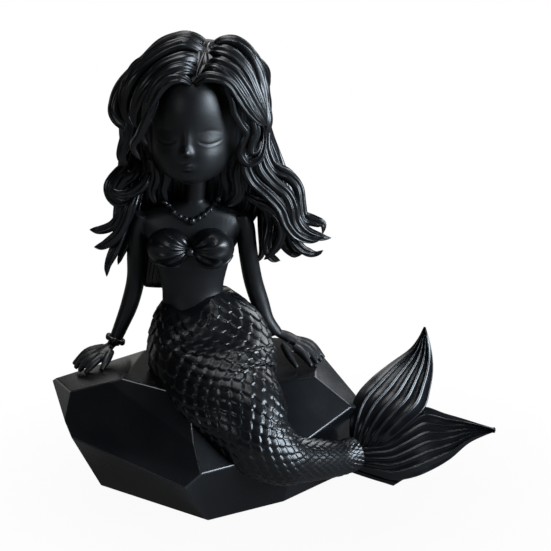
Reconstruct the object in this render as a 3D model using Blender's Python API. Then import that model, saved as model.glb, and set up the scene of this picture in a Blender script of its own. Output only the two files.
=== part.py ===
"""Mermaid figurine seated on a faceted rock, cast in one piece.

Metres, +Z up. She faces -Y, her tail fin points to +X and the rock stands on Z = 0.
Each part of her is a closed mesh that overlaps its neighbours, and one union of them
all makes the single casting.
"""

import math

import bmesh
import bpy
from mathutils import Matrix, Vector

MM = 0.001
TRIANGLES = 11400

# Rock: a block cut by flat facets. Each facet has the heading of its outward
# direction from +X, the rise of that direction above level, both in degrees, and its
# distance from ROCK_CENTRE in millimetres.
ROCK_CENTRE = Vector((-22.0, 0.0, 20.0)) * MM
ROCK_EDGE = 0.45 * MM
ROCK_BLANK = 300 * MM
ROCK_FACETS = {
    "underside left": (-128.3, -39.3, 33.7),
    "prow right": (-57.5, -19.0, 34.5),
    "prow far right": (-40.0, -17.8, 36.0),
    "left front": (-108.0, 36.1, 34.1),
    "front high": (-103.7, 42.1, 32.6),
    "top left": (184.8, 73.9, 29.7),
    "left tip": (-160.2, 22.6, 50.9),
    "left back low": (190.3, -22.8, 42.2),
    "left back": (125.6, 58.7, 30.0),
    "right front": (-60.1, 42.9, 27.3),
    "top right": (-51.0, 81.3, 21.6),
    "right chamfer": (-9.8, 53.0, 35.7),
    "back right": (41.9, -3.0, 39.5),
    "back": (96.0, 12.0, 27.0),
    "back low": (120.0, -28.0, 33.0),
}

# Torso: level sections from the collar down to the hips. Height, middle x, middle y,
# half width and half depth, in millimetres.
TORSO = (
    (97.5, -26.3, 3.0, 3.3, 3.2),
    (95.5, -26.8, 3.2, 8.0, 4.0),
    (93.5, -27.5, 3.5, 14.5, 5.0),
    (91.0, -28.0, 3.5, 17.4, 5.6),
    (88.0, -28.0, 3.2, 16.6, 6.2),
    (84.0, -28.0, 2.8, 14.2, 6.8),
    (80.0, -27.8, 2.5, 13.0, 7.0),
    (76.0, -27.7, 2.5, 12.2, 6.8),
    (72.5, -27.6, 3.0, 11.2, 6.4),
    (69.0, -27.6, 3.3, 10.4, 6.2),
    (66.0, -27.5, 3.6, 10.2, 6.4),
    (62.0, -27.0, 3.2, 10.6, 6.6),
    (58.0, -26.0, 2.2, 10.6, 6.8),
    (54.0, -25.0, 0.5, 10.6, 7.0),
)
TORSO_SIDES = 18

NECK = ((-27.0, 3.5, 90.0), (-26.4, 3.0, 97.0), (-25.8, 2.0, 103.0), (-25.6, 1.0, 109.0))
NECK_RADIUS = 3.2 * MM

# Arms: points from the shoulder to the wrist, with the radius at each.
ARM_LEFT = (
    (-43.8, 3.0, 92.6, 2.6),
    (-45.3, 4.0, 88.0, 3.1),
    (-46.3, 6.0, 79.5, 3.1),
    (-46.8, 9.0, 69.0, 3.1),
    (-49.0, 9.0, 60.0, 3.0),
    (-52.0, 8.0, 52.5, 2.5),
    (-54.7, 7.0, 46.3, 2.1),
)
ARM_RIGHT = (
    (-11.2, 3.0, 92.8, 2.6),
    (-10.0, 4.0, 88.0, 3.2),
    (-9.2, 6.0, 79.5, 3.2),
    (-7.6, 9.0, 68.5, 3.2),
    (-5.2, 10.0, 60.0, 3.1),
    (-3.0, 9.5, 54.0, 2.6),
    (0.3, 9.5, 49.4, 2.2),
)
ARM_SIDES = 10

# Hands: a flat palm from the wrist to the knuckles, then fingers that lie on the rock.
PALM_HALF_WIDTH = 3.3 * MM
PALM_HALF_THICKNESS = 1.7 * MM
FINGER_RADIUS = 1.35 * MM
PALM_LEFT = ((-54.7, 7.0, 46.3), (-57.5, 5.2, 44.8), (-60.0, 3.2, 43.2))
FINGERS_LEFT = (
    ((-58.0, 7.4, 45.0), (-63.6, 6.6, 43.6), (-68.2, 4.4, 39.8)),
    ((-58.4, 5.2, 44.8), (-63.6, 3.9, 43.0), (-67.4, 1.6, 39.4)),
    ((-58.4, 3.0, 44.4), (-62.8, 1.0, 42.4), (-65.8, -1.2, 39.2)),
    ((-57.8, 1.2, 44.0), (-61.2, -1.4, 41.8), (-63.4, -3.4, 39.2)),
    ((-55.2, 3.2, 45.0), (-56.4, -0.8, 43.0), (-58.0, -4.0, 40.6)),
)
PALM_RIGHT = ((0.3, 9.5, 49.4), (3.6, 10.2, 48.0), (7.0, 10.0, 46.2))
FINGERS_RIGHT = (
    ((6.5, 12.0, 46.4), (12.0, 11.6, 44.8), (16.4, 9.0, 40.6)),
    ((6.8, 9.8, 46.2), (11.6, 9.2, 44.4), (15.6, 6.2, 40.4)),
    ((6.6, 7.6, 46.0), (10.8, 6.8, 44.0), (14.2, 3.8, 40.2)),
    ((6.0, 5.6, 45.8), (9.2, 4.4, 43.6), (12.2, 1.6, 40.0)),
    ((2.6, 6.6, 46.4), (4.6, 3.4, 43.4), (7.4, 0.2, 40.0)),
)

# Bra: two ribbed half domes that meet at a knot between them.
CUP_CENTRES = ((-35.0, -3.2, 82.8), (-20.6, -3.2, 82.8))
CUP_HALF_WIDTH = 7.2 * MM
CUP_HALF_HEIGHT = 6.6 * MM
CUP_DEPTH = 6.6 * MM
CUP_RIBS = 6
CUP_RIB_DEPTH = 0.5 * MM
CUP_RIM_RADIUS = 0.65 * MM
KNOT_CENTRE = (-27.8, -6.3, 82.0)
KNOT_RADIUS = 1.7 * MM

# Necklace: beads from each side of the neck down to the pendant. The depth of each
# follows from the chest behind it.
BEAD_RADIUS = 0.85 * MM
PENDANT_RADIUS = 1.2 * MM
PENDANT = (-27.2, 91.4)
NECKLACE = (
    (-36.6, 97.0),
    (-35.0, 95.4),
    (-33.2, 94.0),
    (-31.2, 92.8),
    (-29.3, 92.0),
    (-25.0, 92.3),
    (-23.2, 93.4),
    (-21.4, 94.8),
    (-19.8, 96.4),
    (-18.6, 98.2),
)

BANGLE_CENTRE = (-54.0, 7.2, 47.9)
BANGLE_RADIUS = 2.8 * MM
BANGLE_WIRE = 0.6 * MM

# Tail: the middle of each section from the waist to the fin, its half width and its
# half depth. The skin is a lattice of overlapping scales.
TAIL = (
    (-26.3, 4.0, 66.5, 11.2, 7.2),
    (-24.8, 3.7, 63.5, 13.0, 8.6),
    (-23.0, 2.3, 58.2, 16.8, 11.6),
    (-22.0, -1.9, 52.4, 19.4, 13.0),
    (-21.0, -8.0, 47.3, 20.2, 12.6),
    (-19.0, -14.8, 43.2, 18.8, 11.0),
    (-16.3, -20.9, 38.9, 17.0, 10.4),
    (-10.8, -26.6, 33.5, 14.3, 10.0),
    (-5.5, -29.6, 25.6, 11.4, 9.8),
    (2.0, -29.0, 19.6, 8.6, 8.2),
    (7.9, -25.5, 17.3, 6.8, 6.6),
    (14.7, -19.5, 15.1, 6.0, 5.8),
    (21.1, -13.0, 12.9, 5.2, 5.0),
    (26.2, -9.0, 13.1, 5.0, 4.8),
)
# Sections stay level at the waist and stand square to the tail from this share of its
# length on, so that they don't cross in the fold of the lap.
LEVEL_SHARE = 0.5
# Rows of scales are spaced along the front of the tail by this share, and along its
# middle by the rest.
FRONT_SHARE = 0.75
TAIL_FRONT = Vector((0.0, -0.96, 0.28))
SCALE_COLUMNS = 20
SCALE_ROWS = 46
SCALE_LIFT = 0.8 * MM
# Sections of the tail for each row of scales. The scales' upper border starts lower all
# round, more on her left, and lowest at a point a little left of her middle, in rows.
STEPS_PER_ROW = 8
WAIST_DROP = 0.9
WAIST_TILT = 1.1
WAIST_POINT = 1.8
WAIST_POINT_LEFT = 0.25
WAIST_FADE_ROWS = 14
# The tail is closed at the top by a cone that goes down to the middle of this row.
WAIST_CONE_ROW = 6

# Fins: each lobe is a ribbed leaf between two edges that run from the tail to the tip.
FIN_THICKNESS = 1.3 * MM
RAY_HEIGHT = 0.55 * MM
FINS = {
    "upper lobe": (
        ((25.0, -8.0, 13.5), (24.8, -7.0, 22.5), (26.5, -4.0, 30.0), (31.5, 0.0, 35.0),
         (38.5, 4.0, 39.5), (45.0, 7.0, 43.5), (48.2, 9.0, 47.0), (50.2, 11.0, 51.0)),
        ((30.5, -8.0, 10.5), (38.5, -8.0, 18.5), (45.0, -5.0, 23.5), (50.0, -2.0, 27.5),
         (52.0, 2.0, 32.5), (53.2, 6.0, 38.0), (52.8, 9.0, 44.0), (50.9, 11.0, 51.0)),
        3.0, 8, 10,
    ),
    "right lobe": (
        ((24.0, -7.0, 15.0), (36.5, -7.0, 16.5), (42.5, -5.0, 20.5), (49.0, -2.5, 26.0),
         (57.0, -3.0, 25.0), (63.0, -4.0, 23.5), (68.5, -5.0, 22.0), (73.6, -6.0, 20.8)),
        ((24.0, -9.0, 8.5), (32.0, -12.0, 7.0), (39.0, -14.0, 5.5), (46.0, -14.0, 6.5),
         (52.5, -12.0, 8.5), (58.5, -10.0, 11.5), (65.0, -8.0, 16.5), (73.2, -6.0, 19.6)),
        3.0, 8, 10,
    ),
    "under fin": (
        ((24.0, -5.0, 9.5), (32.0, -7.0, 7.5), (38.5, -8.0, 6.5), (46.0, -8.5, 5.6)),
        ((24.0, -7.0, 6.0), (31.0, -8.5, 4.0), (36.0, -9.0, 2.6), (39.5, -9.5, 1.6)),
        0.5, 5, 6,
    ),
}

# Head: level sections from the chin to the crown. Height, half width, front y and back
# y in millimetres. Face features are soft bumps and hollows on the front.
HEAD_X = -26.0
HEAD_MIDDLE_Y = 1.0
HEAD_TURN = math.radians(-6.0)
HEAD = (
    (106.2, 2.0, -13.6, -7.0),
    (107.3, 5.2, -15.0, -4.0),
    (109.0, 8.4, -16.0, -1.5),
    (111.8, 11.2, -16.7, 3.0),
    (115.5, 13.1, -17.0, 7.0),
    (119.0, 14.2, -16.9, 10.0),
    (123.0, 14.6, -16.7, 11.0),
    (126.5, 14.6, -16.8, 12.0),
    (130.5, 14.3, -16.8, 12.0),
    (134.6, 13.7, -16.0, 12.0),
    (138.0, 12.6, -14.4, 11.0),
    (141.0, 10.6, -12.0, 10.0),
    (143.5, 7.5, -8.0, 8.0),
)
HEAD_RINGS = 18
HEAD_SIDES = 24
# Middle x from the face's middle, height, spread across, spread up and down, relief.
FACE_RELIEF = (
    ("nose tip", 0.0, 117.4, 1.5, 1.5, 2.0),
    ("nose bridge", 0.0, 121.5, 1.3, 3.6, 0.9),
    ("left eye socket", -7.2, 122.6, 3.6, 2.6, -1.5),
    ("right eye socket", 7.2, 122.6, 3.6, 2.6, -1.5),
    ("left eyelid", -7.2, 121.8, 2.9, 1.7, 1.4),
    ("right eyelid", 7.2, 121.8, 2.9, 1.7, 1.4),
    ("left brow", -7.0, 126.2, 4.0, 1.1, 0.5),
    ("right brow", 7.0, 126.2, 4.0, 1.1, 0.5),
    ("left cheek", -7.5, 115.5, 3.4, 3.0, 0.8),
    ("right cheek", 7.5, 115.5, 3.4, 3.0, 0.8),
    ("mouth", 0.0, 112.4, 2.4, 1.0, 1.1),
    ("below the mouth", 0.0, 110.4, 2.4, 0.7, -0.6),
    ("chin", 0.0, 108.2, 2.4, 1.2, 0.6),
)

# Hair core: the solid mass under the locks. Height, middle x, half width, front y and
# back y in millimetres.
HAIR_CORE = (
    (149.2, -24.5, 5.0, 2.0, 10.0),
    (147.8, -25.0, 12.0, -3.0, 15.0),
    (144.6, -25.6, 17.6, -8.6, 20.0),
    (140.0, -26.0, 20.8, -11.2, 24.0),
    (135.5, -26.2, 22.2, -9.0, 26.0),
    (129.0, -26.2, 22.6, -4.5, 27.0),
    (122.0, -26.0, 22.5, -3.0, 27.5),
    (114.0, -26.0, 22.0, -1.5, 26.5),
    (106.0, -26.0, 21.5, 1.5, 25.0),
    (98.0, -26.5, 21.0, 5.0, 23.0),
    (90.0, -27.5, 19.5, 6.5, 21.0),
    (82.0, -28.8, 17.0, 7.0, 18.5),
    (75.0, -31.0, 14.5, 8.0, 16.5),
    (68.0, -34.2, 11.5, 8.5, 15.0),
    (65.2, -35.0, 9.0, 9.5, 13.5),
)
HAIR_CORE_SIDES = 14
SIDE_MASS_RIGHT = (
    (-7.0, 11.0, 122.0, 4.5),
    (-4.0, 11.5, 112.0, 5.2),
    (-1.4, 11.0, 102.0, 6.2),
    (0.2, 10.4, 93.0, 6.6),
    (-0.4, 9.5, 85.0, 5.6),
    (-2.4, 8.8, 78.5, 3.0),
)
SIDE_MASS_LEFT = (
    (-44.0, 11.0, 120.0, 4.2),
    (-46.0, 10.5, 110.0, 4.6),
    (-48.0, 9.5, 100.0, 4.8),
    (-49.6, 8.5, 91.0, 4.4),
    (-51.0, 7.5, 83.0, 3.2),
    (-52.6, 6.0, 77.5, 1.6),
)

# Locks: half width and half thickness, how far their face turns to the front, and
# their points from root to tip, all in millimetres.
LOCKS = {
    "crown left back": (4.6, 2.4, 0.0, (-21.5, 9.0, 147.0), (-27.5, 8.0, 149.8), (-35.5, 8.0, 147.8),
                        (-42.0, 8.0, 142.4), (-46.0, 7.0, 136.0), (-48.4, 5.0, 128.0),
                        (-49.2, 3.0, 120.0), (-49.2, 2.0, 114.0)),
    "crown left": (3.6, 2.4, 0.0, (-21.8, 4.0, 147.0), (-27.4, 4.0, 150.4), (-32.2, 4.6, 149.4),
                   (-37.0, 4.6, 147.0), (-41.6, 3.6, 143.2), (-45.6, 2.4, 139.6),
                   (-48.8, 0.8, 135.6), (-50.9, -0.6, 131.6), (-51.6, -1.8, 127.8),
                   (-49.8, -3.2, 124.6), (-46.4, -4.6, 123.4), (-43.6, -5.6, 124.4)),
    "crown left middle": (3.2, 2.2, 0.0, (-22.3, -1.5, 145.2), (-26.0, -2.0, 148.4),
                          (-30.4, -2.4, 149.2), (-36.9, -3.4, 146.4), (-43.0, -4.4, 141.4),
                          (-46.8, -4.6, 136.2), (-48.2, -5.0, 130.8), (-47.4, -5.8, 126.4),
                          (-45.2, -6.6, 123.2)),
    "crown left front": (3.0, 2.0, 0.2, (-23.4, -5.0, 143.0), (-26.6, -7.4, 145.4),
                         (-30.6, -9.0, 145.2), (-35.8, -10.0, 142.8), (-40.6, -10.4, 137.6),
                         (-43.6, -10.0, 132.4), (-44.8, -9.6, 127.6), (-43.8, -9.6, 123.4)),
    "bang left": (2.8, 1.8, 0.4, (-24.6, -9.6, 141.0), (-27.6, -12.6, 143.2), (-31.6, -14.0, 142.8),
                  (-35.8, -14.2, 139.4), (-39.2, -13.6, 134.0), (-41.0, -12.6, 128.8),
                  (-41.4, -11.6, 124.6)),
    "bang left edge": (2.0, 1.4, 0.5, (-26.2, -13.4, 138.6), (-29.4, -15.2, 140.6),
                       (-33.0, -15.6, 140.2), (-36.4, -15.4, 137.4), (-39.0, -14.6, 133.0),
                       (-40.8, -13.0, 128.6), (-41.6, -11.8, 124.8)),
    "crown right back": (4.6, 2.4, 0.0, (-20.5, 9.0, 147.0), (-15.5, 8.0, 149.0), (-9.8, 8.0, 145.8),
                         (-5.6, 7.6, 139.6), (-3.6, 6.4, 131.6), (-2.8, 4.6, 123.6),
                         (-3.2, 3.0, 116.4)),
    "crown right": (3.4, 2.2, 0.0, (-20.6, 4.0, 146.8), (-17.2, 3.4, 149.4), (-13.0, 4.0, 148.8),
                    (-8.8, 3.6, 145.6), (-5.8, 2.8, 140.6), (-4.0, 1.8, 134.6), (-3.2, 0.6, 128.6),
                    (-2.4, -0.6, 123.6), (-3.8, -1.4, 118.4)),
    "crown right middle": (3.0, 2.0, 0.0, (-21.2, -1.0, 145.2), (-18.2, -4.0, 147.4),
                           (-13.4, -5.0, 146.0), (-9.2, -6.0, 141.4), (-6.6, -6.2, 135.6),
                           (-4.4, -6.0, 129.4), (-3.4, -5.6, 124.0)),
    "crown right front": (3.0, 2.0, 0.2, (-22.2, -5.4, 142.6), (-18.8, -9.4, 144.2),
                          (-13.6, -11.0, 142.0), (-10.0, -11.2, 137.2), (-7.2, -10.2, 132.0),
                          (-4.4, -8.8, 127.4), (-2.6, -7.6, 124.0)),
    "bang right": (2.6, 1.8, 0.4, (-23.2, -10.0, 140.6), (-19.6, -13.2, 142.6),
                   (-15.2, -14.2, 139.9), (-11.8, -14.0, 136.0), (-8.8, -12.8, 131.2),
                   (-5.6, -11.4, 126.8), (-3.2, -10.0, 124.6)),
    "bang right edge": (1.9, 1.3, 0.5, (-25.2, -13.8, 138.6), (-21.8, -15.6, 141.0),
                        (-17.0, -16.2, 140.6), (-13.6, -15.6, 138.4), (-10.8, -14.6, 134.2),
                        (-8.0, -13.4, 130.2), (-5.4, -12.2, 127.0), (-3.4, -10.8, 125.6)),
    "parting": (1.9, 1.3, 0.3, (-21.4, 8.0, 148.2), (-21.8, 3.0, 148.4), (-22.2, -2.0, 147.0),
                (-23.0, -6.6, 144.4), (-24.2, -10.6, 141.6), (-25.6, -13.4, 138.6)),
    "cheek strand right": (1.5, 1.2, 0.8, (-15.4, -15.2, 138.0), (-13.4, -14.6, 133.0),
                           (-12.8, -14.0, 129.6), (-10.8, -13.0, 125.6), (-9.0, -12.2, 122.6),
                           (-10.4, -12.0, 118.6), (-10.8, -11.6, 115.4), (-8.6, -11.5, 112.8),
                           (-5.2, -11.0, 114.0), (-3.7, -9.8, 117.4), (-3.4, -8.2, 121.0),
                           (-4.2, -6.6, 124.0)),
    "cheek curl right": (1.5, 1.2, 0.8, (-8.8, -12.4, 131.0), (-7.2, -11.8, 127.0),
                         (-6.2, -11.4, 122.8), (-7.4, -11.5, 119.0), (-7.6, -11.2, 116.2),
                         (-5.6, -10.4, 116.8), (-4.9, -9.4, 119.4)),
    "cheek strand left": (1.6, 1.2, 0.8, (-36.4, -14.2, 136.6), (-38.2, -14.0, 132.0),
                          (-40.8, -12.8, 126.4), (-43.2, -11.8, 121.6), (-45.2, -11.2, 118.8),
                          (-44.8, -10.8, 116.2), (-42.8, -10.0, 113.2)),
    "cheek curl left": (1.4, 1.1, 0.8, (-38.2, -13.6, 132.6), (-40.2, -12.8, 127.8),
                        (-42.0, -12.2, 123.4), (-42.0, -11.6, 120.6), (-40.4, -11.0, 117.8)),
    "temple strand left": (2.4, 1.7, 0.6, (-46.0, -4.0, 128.5), (-46.6, -4.6, 124.6),
                           (-47.6, -4.6, 120.2), (-49.0, -4.4, 116.2), (-49.4, -4.0, 112.8),
                           (-47.6, -3.4, 109.6)),
    "side right outer": (2.6, 1.8, 0.7, (-2.4, 4.0, 122.0), (-3.2, 3.0, 114.5), (-0.8, 2.4, 108.4),
                         (4.2, 1.8, 105.6), (7.4, 1.2, 101.8), (8.2, 0.6, 96.4), (9.2, 0.4, 92.2),
                         (12.6, 0.4, 90.8), (15.6, 0.0, 89.6), (15.4, -0.6, 86.6)),
    "side right inner": (2.4, 1.8, 0.8, (-4.4, -1.6, 118.0), (-5.0, -2.8, 110.8), (-1.4, -3.0, 105.2),
                         (3.4, -3.0, 101.0), (5.6, -3.0, 96.6), (6.6, -2.8, 91.4), (10.0, -2.4, 87.8),
                         (15.2, -1.6, 85.8), (18.2, -1.0, 85.4)),
    "side right": (2.2, 1.7, 0.8, (-7.6, -5.6, 116.5), (-9.6, -5.6, 111.4), (-7.6, -5.0, 105.8),
                   (-2.8, -4.8, 101.2), (1.4, -4.6, 96.6), (3.8, -4.4, 91.2), (7.0, -4.0, 87.4),
                   (11.8, -3.2, 85.4), (16.2, -2.6, 86.4)),
    "neck strand right": (1.8, 1.4, 0.8, (-11.4, -4.4, 113.0), (-12.2, -3.6, 107.0),
                          (-11.6, -2.4, 101.0), (-13.6, -2.0, 97.6), (-16.2, -1.6, 96.4)),
    "neck strand right inner": (1.6, 1.3, 0.8, (-15.0, -1.4, 112.0), (-16.4, -0.8, 106.5),
                                (-15.4, 0.2, 101.0), (-16.6, 1.2, 96.8)),
    "neck strand left": (2.0, 1.5, 0.8, (-40.2, -3.6, 112.5), (-39.0, -2.6, 106.5),
                         (-40.4, -1.4, 101.0), (-39.0, -0.6, 96.6)),
    "neck strand left inner": (1.6, 1.3, 0.8, (-36.4, -1.4, 112.0), (-35.2, -0.6, 106.5),
                               (-36.4, 0.4, 101.0), (-35.4, 1.4, 96.8)),
    "right curl": (1.9, 1.6, 0.8, (-10.0, -1.6, 100.6), (-6.6, -3.4, 98.8), (-2.4, -4.0, 96.9),
                   (1.0, -4.2, 93.4), (2.2, -4.0, 88.8), (1.2, -3.6, 84.4), (-1.2, -3.0, 80.8),
                   (-3.8, -2.4, 78.4)),
    "side right lower": (2.0, 1.6, 0.8, (1.0, 0.4, 98.5), (3.4, -1.0, 91.2), (5.2, -1.2, 85.4),
                         (8.6, -1.0, 81.6), (13.2, -0.4, 80.0)),
    "flank right": (3.6, 2.2, 0.0, (-3.6, 8.5, 128.0), (-3.0, 9.0, 118.0), (0.4, 9.0, 108.0),
                    (2.2, 8.4, 98.0), (3.6, 8.0, 88.0), (2.8, 7.4, 80.0)),
    "right long": (3.0, 2.2, 0.5, (-4.0, 9.0, 108.0), (-0.6, 9.0, 98.5), (1.8, 7.6, 89.0),
                   (2.6, 6.4, 82.4), (5.4, 5.4, 78.8), (8.8, 4.6, 78.4)),
    "right long inner": (2.4, 1.8, 0.6, (-4.5, 6.5, 98.0), (-2.0, 6.0, 89.0), (-2.8, 5.0, 82.0),
                         (-1.6, 4.2, 77.6), (1.6, 3.6, 76.4)),
    "right long back": (3.0, 2.2, 0.3, (-6.5, 13.0, 108.5), (-4.4, 12.4, 95.0), (-4.2, 11.0, 84.0),
                        (-4.6, 9.0, 77.6), (-6.2, 7.4, 74.8)),
    "right low flick": (1.6, 1.3, 0.6, (3.6, 4.6, 90.5), (6.2, 3.8, 84.4), (9.6, 3.0, 80.0),
                        (13.2, 2.6, 79.0), (15.8, 2.2, 80.4)),
    "side left outer": (2.6, 1.9, 0.7, (-46.4, 2.6, 115.0), (-48.0, 1.0, 109.8),
                        (-51.2, -0.6, 106.4), (-53.6, -1.6, 102.8), (-52.8, -2.2, 98.8),
                        (-49.2, -2.6, 97.4), (-45.6, -2.6, 99.4)),
    "side left front": (1.8, 1.5, 0.8, (-40.8, -4.4, 108.0), (-42.8, -4.8, 104.2),
                        (-46.8, -5.2, 101.6), (-50.6, -4.8, 101.2), (-53.0, -4.0, 102.6)),
    "side left inner": (2.0, 1.6, 0.7, (-43.6, 0.0, 112.0), (-45.2, -2.0, 107.6),
                        (-48.6, -2.8, 105.0), (-51.0, -3.2, 101.8), (-49.6, -3.6, 99.6),
                        (-46.2, -3.4, 100.4)),
    "left flick": (2.0, 1.6, 0.8, (-45.2, 0.0, 105.0), (-47.0, -1.8, 98.4), (-50.2, -2.0, 93.8),
                   (-53.2, -1.6, 89.8), (-57.2, -1.4, 88.2), (-60.8, -1.0, 88.2)),
    "side left": (2.0, 1.6, 0.8, (-44.4, -1.4, 101.6), (-46.8, -3.2, 96.8), (-48.6, -3.4, 92.0),
                  (-51.6, -3.0, 87.0), (-56.0, -2.6, 83.4), (-59.4, -2.2, 82.6)),
    "flank left": (3.2, 2.0, 0.0, (-47.4, 8.0, 128.0), (-49.0, 8.6, 116.0), (-50.4, 7.6, 104.0),
                   (-51.4, 6.8, 92.0), (-52.4, 5.8, 84.0), (-53.4, 4.6, 78.0)),
    "left long": (2.2, 1.7, 0.6, (-45.5, 4.0, 100.0), (-49.2, 2.4, 90.0), (-51.4, 1.2, 84.2),
                  (-53.4, 0.0, 80.0), (-55.2, -0.6, 76.0), (-55.6, -1.0, 72.2)),
    "left long inner": (2.2, 1.6, 0.5, (-44.8, 6.4, 96.0), (-48.6, 6.2, 84.0), (-50.8, 4.8, 78.8),
                        (-52.2, 3.4, 75.0)),
    "left long back": (3.0, 2.2, 0.3, (-42.0, 13.0, 112.0), (-47.4, 12.4, 98.0), (-50.0, 10.4, 86.5),
                       (-52.4, 7.6, 79.0)),
}
LOCK_SPACING = 6.0 * MM
BACK_LOCKS = 7
BACK_LOCK_HALF_WIDTH = 4.4
BACK_LOCK_HALF_THICKNESS = 2.4
BACK_LOCK_WAVE = 1.6
BACK_LOCK_ROOT = (-22.5, 9.0, 146.8)
BACK_LOCK_HEIGHTS = (141.0, 132.0, 122.0, 112.0, 102.0, 92.0, 82.0, 73.0)
BACK_LOCK_DROP = 5.0
# Locks lie outward from this point of the head and from the upright line below it.
HAIR_MIDDLE = (-26.0, 5.0, 122.0)


def metres(points):
    """The same points with every number turned from millimetres into metres."""
    return [tuple(number * MM for number in point) for point in points]


def smooth_path(points, spans):
    """Evenly spaced samples of a smooth curve through the points.

    The first three numbers of a point are its place. Any others are blended alike.
    """
    ends = [points[0], *points, points[-1]]
    fine = []
    for a, b, c, d in zip(ends, ends[1:], ends[2:], ends[3:]):
        for step in range(12):
            t = step / 12
            fine.append(tuple(
                0.5 * (2 * q + (r - p) * t + (2 * p - 5 * q + 4 * r - s) * t ** 2
                       + (3 * q - p - 3 * r + s) * t ** 3)
                for p, q, r, s in zip(a, b, c, d)
            ))
    fine.append(tuple(points[-1]))
    travelled = [0.0]
    for a, b in zip(fine, fine[1:]):
        travelled.append(travelled[-1] + math.dist(a[:3], b[:3]))
    samples = []
    at = 0
    for span in range(spans + 1):
        wanted = travelled[-1] * span / spans
        while at < len(fine) - 2 and travelled[at + 1] < wanted:
            at += 1
        step = max(travelled[at + 1] - travelled[at], 1e-9)
        share = (wanted - travelled[at]) / step
        samples.append(tuple(p + (q - p) * share for p, q in zip(fine[at], fine[at + 1])))
    return samples


def path_length(points):
    """Length of the straight steps through the points."""
    return sum(math.dist(a[:3], b[:3]) for a, b in zip(points, points[1:]))


def directions(places, first_side, level_share=0.0):
    """Along, side and out directions at each place, turning as little as possible.

    Up to level_share of the places, along is drawn towards straight down.
    """
    side = Vector(first_side)
    found = []
    for here in range(len(places)):
        ahead = Vector(places[min(here + 1, len(places) - 1)][:3])
        behind = Vector(places[max(here - 1, 0)][:3])
        along = (ahead - behind).normalized()
        if here < level_share * len(places):
            share = here / (level_share * len(places))
            along = Vector((0, 0, -1)).lerp(along, share ** 2 * (3 - 2 * share)).normalized()
        side = (side - along * side.dot(along)).normalized()
        found.append((along, side, along.cross(side)))
    return found


def keep(name, mesh):
    """Makes one closed part of the casting from a bmesh and stores it for the union."""
    bmesh.ops.remove_doubles(mesh, verts=mesh.verts, dist=1e-7)
    bmesh.ops.triangulate(mesh, faces=mesh.faces)
    bmesh.ops.recalc_face_normals(mesh, faces=mesh.faces)
    data = bpy.data.meshes.new(name)
    mesh.to_mesh(data)
    mesh.free()
    part = bpy.data.objects.new(name, data)
    parts.objects.link(part)
    part.display_type = "WIRE"
    return part


def skin(name, rings):
    """A closed mesh through rings that hold equally many points."""
    mesh = bmesh.new()
    loops = [[mesh.verts.new(point) for point in ring] for ring in rings]
    for above, below in zip(loops, loops[1:]):
        for here in range(len(above)):
            after = (here + 1) % len(above)
            mesh.faces.new((above[here], above[after], below[after], below[here]))
    mesh.faces.new(loops[0])
    mesh.faces.new(loops[-1])
    return keep(name, mesh)


def tube(name, points, sides, spans, flat=1.0, first_side=(1.0, 0.0, 0.0)):
    """A closed tube along points that each hold x, y, z and a radius.

    Its width lies along first_side, and its thickness is that width times flat.
    """
    path = smooth_path(points, spans)
    rings = []
    for (x, y, z, radius), (_, side, out) in zip(path, directions(path, first_side)):
        ring = []
        for here in range(sides):
            angle = 2 * math.pi * here / sides
            offset = side * math.cos(angle) * radius + out * math.sin(angle) * radius * flat
            ring.append(Vector((x, y, z)) + offset)
        rings.append(ring)
    return skin(name, rings)


def ball(name, centre, radius, segments=7, rings=4):
    """A small closed ball."""
    mesh = bmesh.new()
    bmesh.ops.create_uvsphere(mesh, u_segments=segments, v_segments=rings, radius=radius)
    bmesh.ops.translate(mesh, vec=centre, verts=mesh.verts)
    return keep(name, mesh)


def level_ring(z, middle_x, middle_y, half_width, front, back, sides):
    """A level oval whose front and back may lie at different distances from its middle."""
    ring = []
    for here in range(sides):
        angle = 2 * math.pi * here / sides
        reach = middle_y - front if math.cos(angle) > 0 else back - middle_y
        ring.append(Vector((
            middle_x + half_width * math.sin(angle),
            middle_y - reach * math.cos(angle),
            z,
        )))
    return ring


def make_rock():
    """A block cut down to its facets, with narrow worn edges."""
    mesh = bmesh.new()
    bmesh.ops.create_cube(mesh, size=ROCK_BLANK)
    cuts = [(Vector((0, 0, 0)), Vector((0, 0, -1)))]
    for heading, rise, distance in ROCK_FACETS.values():
        heading = math.radians(heading)
        rise = math.radians(rise)
        outward = Vector((
            math.cos(heading) * math.cos(rise),
            math.sin(heading) * math.cos(rise),
            math.sin(rise),
        ))
        cuts.append((ROCK_CENTRE + outward * distance * MM, outward))
    for place, outward in cuts:
        everything = [*mesh.verts, *mesh.edges, *mesh.faces]
        cut = bmesh.ops.bisect_plane(
            mesh, geom=everything, plane_co=place, plane_no=outward, clear_outer=True
        )
        rim = [item for item in cut["geom_cut"] if isinstance(item, bmesh.types.BMEdge)]
        if rim:
            bmesh.ops.contextual_create(mesh, geom=rim)
    bmesh.ops.dissolve_limit(mesh, angle_limit=0.01, verts=mesh.verts, edges=mesh.edges)
    bmesh.ops.bevel(
        mesh, geom=[*mesh.edges], offset=ROCK_EDGE, segments=1, affect="EDGES"
    )
    return keep("rock", mesh)


def make_torso():
    """Chest, waist and belly as one loft of level ovals, with the neck on top."""
    rings = []
    for z, x, y, half_width, half_depth in metres(TORSO):
        rings.append(level_ring(
            z, x, y, half_width, y - half_depth, y + half_depth, TORSO_SIDES
        ))
    skin("torso", rings)
    neck = [(*point, NECK_RADIUS) for point in metres(NECK)]
    tube("neck", neck, 10, 3)


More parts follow.
